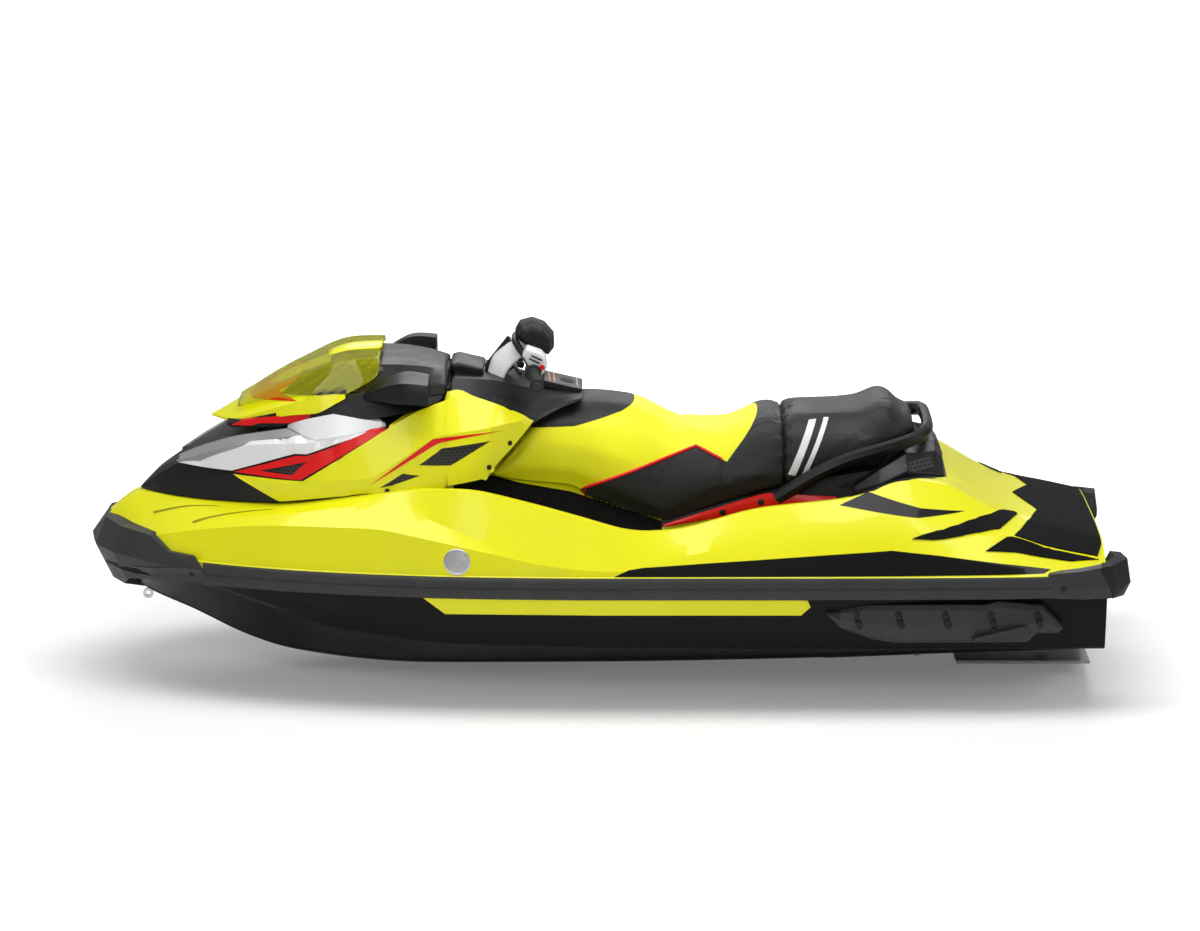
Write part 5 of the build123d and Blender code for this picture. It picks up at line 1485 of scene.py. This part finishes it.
def puffed(made):
    """Blows a closed cushion up a little with a cloth simulation and keeps the result."""
    scene = bpy.context.scene
    mesh = baked(made)
    made.modifiers.clear()
    made.data = mesh
    remesh = made.modifiers.new("remesh", "REMESH")
    remesh.mode = "VOXEL"
    remesh.voxel_size = VOXEL * MM
    mesh = baked(made)
    made.modifiers.clear()
    made.data = mesh
    first_shape = [vert.co.copy() for vert in mesh.vertices]
    for vert in mesh.vertices:
        vert.co = vert.co - vert.normal * SHRINK * MM
    cloth = made.modifiers.new("cloth", "CLOTH")
    cloth.settings.quality = CLOTH_QUALITY
    cloth.settings.mass = CLOTH_MASS
    cloth.settings.tension_stiffness = CLOTH_STRETCH
    cloth.settings.compression_stiffness = CLOTH_STRETCH
    cloth.settings.bending_stiffness = CLOTH_BEND
    cloth.settings.use_pressure = True
    cloth.settings.uniform_pressure_force = PRESSURE
    cloth.settings.effector_weights.gravity = 0.0
    cloth.point_cache.frame_start, cloth.point_cache.frame_end = 1, PRESSURE_FRAMES
    for number in range(1, PRESSURE_FRAMES + 1):
        scene.frame_set(number)
    blown = baked(made)
    made.modifiers.clear()
    for vert, first, last in zip(mesh.vertices, first_shape, blown.vertices):
        step = last.co - first
        if step.length > SWELL * MM:
            step *= SWELL * MM / step.length
        vert.co = first + step
    scene.frame_set(1)
    mesh.shade_smooth()


def make_cushion(name, node, body, finish, lines, places):
    """A closed cushion between its lower edge and the line of its top, blown up like a cover."""
    edge, side, shoulder, top = lines
    rows = [centre(edge), edge, between(edge, side, 0.5, 4), side, between(side, shoulder, 0.5, 10),
            shoulder, between(shoulder, top, 0.5, 0, 6), top]
    bm = whole(loft(rows, places, [1, 0.9, 0.2, 0.3, 0, 0.2, 0, 0]), 0.8)
    cushion = piece(name, bm, finish, body, [node], levels=1)
    puffed(cushion)
    return cushion


def make_seats():
    """The two seats: cushions over the pedestal, sewn covers, piping, stitches and stripes."""
    front = stations(350, 217, 130, 58, -110, -190, -252, -333, -413, -462, -510, -578, spacing=35)
    rear = stations(-583, -740, -832, -870, -893, -925, -950, -960, -1001, spacing=35)
    driver = make_cushion("driver_cushion", "driver_seat", "front_seat", "driver_vinyl",
                          [SEAT_EDGE, SEAT_SIDE, SEAT_SHOULDER, SEAT_TOP], front)
    passenger = make_cushion("passenger_cushion", "passenger_seat", "rear_seat", "passenger_vinyl",
                             [PILLION_EDGE, PILLION_SIDE, PILLION_SHOULDER, PILLION_TOP], rear)
    carve(driver, seat_hollow(420, -640))
    carve(passenger, seat_hollow(-520, -1060))

    def everywhere(co, normal):
        """All but the faces that look straight down."""
        return normal.z > -0.92

    nose = [(400, 700), (400, 560), (232, 586), (89, 588), (3, 606), (-62, 622), (-108, 640),
            (-112, 700)]
    seam = [(6, 413), (-121, 458), (-300, 520), (-398, 476)]
    flank = [(118, 370), *seam, (-456, 548), (-512, 625), (-512, 700), (-640, 700), (-640, 300),
             (-190, 200), (60, 300), (118, 340)]
    for name, outline in (("driver_nose_cover", nose), ("driver_side_cover", flank)):
        patch(name, driver, outline, "passenger_vinyl", thick=1.2, lift=0.3, limit=everywhere,
              body="front_seat", sharp=60)
    piping = [(106, 376), *seam]
    for name, side in SIDES:
        line = []
        for (xa, za), (xb, zb) in zip(piping, piping[1:]):
            for share in (i / 6 for i in range(6)):
                line.append(ground(driver, xa + (xb - xa) * share, za + (zb - za) * share, side,
                                   lift=2.0)[0])
        piece("seat_piping_edge_" + name, tube(line, 5.0, smooth=False, steps=10), "red_panel",
              "front_seat")
        for label, source, body, keys in (
                ("low", driver, "front_seat", [(-226, 300), (-300, 372), (-398, 462)]),
                ("rim", passenger, "rear_seat", [(-738, 562), (-800, 566), (-870, 590),
                                                 (-925, 604)])):
            loops = stitches(source, keys, side)
            piece(f"seat_stitches_{label}_{name}", loops, "bumper_grey", body)
        for i, outline in enumerate(([(-592, 440), (-660, 600), (-684, 602), (-616, 436)],
                                     [(-636, 440), (-708, 606), (-724, 606), (-652, 440)])):
            patch(f"passenger_stripe_{i}_{name}", passenger, outline, "white_cover", side,
                  thick=0.8, lift=0.3, body="rear_seat", sharp=60)


def stitches(source, keys, side, gap=9.0, length=5.0):
    """A row of thread loops along a seam."""
    loops = []
    for (xa, za), (xb, zb) in zip(keys, keys[1:]):
        run = math.hypot(xb - xa, zb - za)
        count = int(run / gap)
        for first in (i / count for i in range(count)):
            ends = [ground(source, xa + (xb - xa) * share, za + (zb - za) * share, side,
                           lift=0.8)[0] for share in (first, first + length / run)]
            loops.append(tube(ends, 1.2, smooth=False, steps=5))
    return join(*loops)


# ---------------------------------------------------------------- rear fittings
def make_hips(deck):
    """The red strips beside the seat with their bolts, and dark skirts below the cushions."""
    for name, side in SIDES:
        low = lane((-196, 264, 272), (-519, 270, 330), (-745, 285, 352), smooth=False)
        high = lane((-196, 264, 280), (-519, 266, 384), (-745, 275, 374), smooth=False)
        lines = [low, between(low, high, 0.5, 3), high, offset(high, -7), offset(low, -7)]
        bm = close(loft(lines, stations(-196, -300, -519, -745, spacing=40), [1, 0, 1, 1, 1],
                        closed=True))
        trim = piece("hip_strip_" + name, on_side(bm, side), "red_panel",
                     replaces=["hip_trim_" + name], levels=1)
        skirt = [(-190, 262), (-190, 300), (-519, 398), (-600, 440), (-745, 440), (-745, 340),
                 (-519, 324)]
        patch("seat_skirt_" + name, deck, skirt, "black_cover", side, lift=0.5,
              limit=lambda co, normal: 0.15 < co.y * side < 0.30)
        heads = bolts(trim, ((-384, 322), (-505, 356)), side, 0.4, 7.0)
        piece("hip_bolts_" + name, heads, BLACK_BOLT)


def make_rear_cowl(deck):
    """The dark well behind the seats, two wings with vents, the middle block and the grab bar."""
    seat_well = [(-600, 0), (-600, 300), (-729, 420), (-780, 446), (-853, 440), (-900, 420),
                 (-963, 400), (-1040, 330), (-1096, 250), (-1102, 0)]
    outline = seat_well + mirrored(seat_well)[-2:0:-1]
    patch("seat_well_cover", deck, outline, "black_cover", axis="top", lift=0.4,
          limit=lambda co, normal: normal.z > -0.1)
    edge = lane((-800, 300, 400), (-880, 330, 430), (-960, 330, 470), (-1088, 260, 446),
                smooth=False)
    brow = lane((-800, 296, 412), (-880, 300, 468), (-961, 270, 512), (-1065, 190, 505),
                (-1088, 170, 480), smooth=False)
    top = lane((-800, 262, 414), (-880, 262, 470), (-961, 180, 530), (-1065, 120, 522),
               (-1088, 110, 490), smooth=False)
    base = lane((-800, 262, 380), (-880, 262, 380), (-961, 200, 400), (-1088, 200, 400),
                smooth=False)
    lines = [offset(base, -30), offset(edge, 0, -40), edge, brow, top, offset(top, -12)]
    for name, side in SIDES:
        bm = close(loft(lines, stations(-800, -880, -961, -1065, -1088, spacing=40),
                        [1] * len(lines), closed=True))
        wing = piece("rear_wing_" + name, on_side(bm, side), "black_cover", bevel=3.0, angle=12,
                     sharp=18)
        settle_shading(wing)
        patch("rear_vent_" + name, wing, [(-948, 486), (-1046, 500), (-1056, 468), (-985, 462)],
              VENT_MESH, side, lift=0.8, slot="black_cover")
    middle = slab([(-1004, 400), (-1092, 400), (-1092, 482), (-1068, 522), (-1010, 530),
                   (-1004, 500)], [(-126, 0.9), (-118, 1.0), (118, 1.0), (126, 0.9)], drawn)
    piece("rear_cowl_middle", middle, "black_cover", replaces=["rear_cowl"], bevel=4.0, segments=3)
    half = [(-556, 262, 366), (-660, 278, 440), (-780, 278, 498), (-900, 266, 528),
            (-990, 236, 552), (-1036, 180, 566), (-1044, 90, 576)]
    points = [place(point) for point in half] + [place((x, -y, z)) for x, y, z in reversed(half)]
    piece("grab_bar", tube(points, 19, wide=1.25, steps=8), "black_cover", replaces=["grab_handle"],
          sharp=30)


# ---------------------------------------------------------------- stage
FLOOR_LIFT = 0.14       # of white, close to the craft
FLOOR_GAP = 0.004       # metres below the keel
FLOOR_REACH = 40.0      # metres from the middle to the floor's edge
CAMERA_AIM = (0.0065, 0.0, 0.413)
CAMERA_DISTANCE = 14.5
CAMERA_RISE = 13.0      # degrees above level
CAMERA_LENS = 134.4     # for a sensor of 36 mm


def make_stage():
    """A white floor that only takes the craft's shadow."""
    bm = bmesh.new()
    bmesh.ops.create_grid(bm, x_segments=2, y_segments=2, size=FLOOR_REACH)
    bmesh.ops.translate(bm, vec=(0, 0, CAD_BOX[0].z - FLOOR_GAP), verts=bm.verts[:])
    mesh = bpy.data.meshes.new("floor")
    bm.to_mesh(mesh)
    bm.free()
    floor = add_object("floor", mesh)
    finish = Finish("floor_paper", (0.86, 0.86, 0.86), 0.9)
    finish.mottle(0.004, 1.0)
    path = finish.node("ShaderNodeLightPath")
    away = finish.node("ShaderNodeVectorMath", operation="LENGTH")
    finish.link(finish.coords, away.inputs[0])
    lift = finish.span(away.outputs["Value"], FLOOR_LIFT, 1.0, 1.7, 4.2)
    seen = finish.math("MULTIPLY", path.outputs["Is Camera Ray"], lift)
    finish.link(seen, finish.shader.inputs["Emission Strength"])
    finish.set("Emission Color", (1, 1, 1, 1))
    mesh.materials.append(finish.material)


def make_world():
    """White all round for the camera and through the screen, dimmer as a light."""
    world = bpy.data.worlds.new("studio")
    bpy.context.scene.world = world
    world.use_nodes = True
    nodes, links = world.node_tree.nodes, world.node_tree.links
    sky = nodes["Background"]
    path = nodes.new("ShaderNodeLightPath")
    add = nodes.new("ShaderNodeMath")
    add.operation = "MAXIMUM"
    links.new(path.outputs["Is Camera Ray"], add.inputs[0])
    links.new(path.outputs["Is Transmission Ray"], add.inputs[1])
    level = nodes.new("ShaderNodeMapRange")
    level.inputs["To Min"].default_value = 0.30
    level.inputs["To Max"].default_value = 1.0
    links.new(add.outputs[0], level.inputs["Value"])
    sky.inputs["Color"].default_value = (1, 1, 1, 1)
    links.new(level.outputs["Result"], sky.inputs["Strength"])


def lamp(name, spot_at, aim, size, power):
    """A softbox that faces its aim."""
    light = bpy.data.lights.new(name, "AREA")
    light.shape = "RECTANGLE"
    light.size, light.size_y = size
    light.energy = power
    made = add_object(name, light)
    made.location = spot_at
    made.rotation_euler = (Vector(aim) - Vector(spot_at)).to_track_quat("-Z", "Y").to_euler()


def make_lights():
    """Four softboxes: one overhead and three round the craft."""
    lamp("overhead_softbox", (0.0, 0.6, 4.6), (0, 0, 0), (6.0, 2.2), 190)
    lamp("side_softbox", (1.5, 5.5, 3.0), (0, 0, 0.2), (4.5, 2.0), 80)
    lamp("back_softbox", (-0.5, -5.0, 3.4), (0, 0, 0.3), (5.0, 2.0), 95)
    lamp("stern_softbox", (-5.5, 1.5, 2.6), (-1.0, 0, 0.2), (2.0, 2.0), 36)


def make_camera():
    """The camera, to port of the craft and a little above it."""
    camera = bpy.data.cameras.new("camera")
    camera.lens = CAMERA_LENS
    camera.sensor_width = 36.0
    made = add_object("camera", camera)
    aim = Vector(CAMERA_AIM)
    rise = math.radians(CAMERA_RISE)
    made.location = aim + CAMERA_DISTANCE * Vector((0, math.cos(rise), math.sin(rise)))
    made.rotation_euler = (aim - made.location).to_track_quat("-Z", "Y").to_euler()
    bpy.context.scene.camera = made


# ---------------------------------------------------------------- frame nodes that stay
def finish_nodes():
    """Finishes and softens the frame's own shapes that stay in view."""
    slots = {part["node"]: part["material_slot"] for part in frame["record"]["subparts"]}
    for name, node in NODES.items():
        if not node.hide_render:
            node.data.materials.clear()
            node.data.materials.append(FINISHES[slots[name]])
            node.data.set_sharp_from_angle(angle=math.radians(SHARP_ANGLE))
            rounded(node, 0.8, 1)


bpy.context.scene.view_settings.view_transform = "Standard"
make_camera()
make_world()
make_lights()
make_stage()
hull = make_hull()
deck = make_deck()
make_rails()
make_bumpers()
make_sponsons()
make_hull_graphics(hull)
make_deck_graphics(deck)
cowl, console = make_cowl()
make_cowl_panels(cowl, console)
hood = make_hood()
beak = make_beak()
make_visor(beak, hood)
make_mirrors()
make_steering_cover()
make_switches()
make_bar()
make_console_fittings(console)
make_seats()
make_hips(deck)
make_rear_cowl(deck)
finish_nodes()
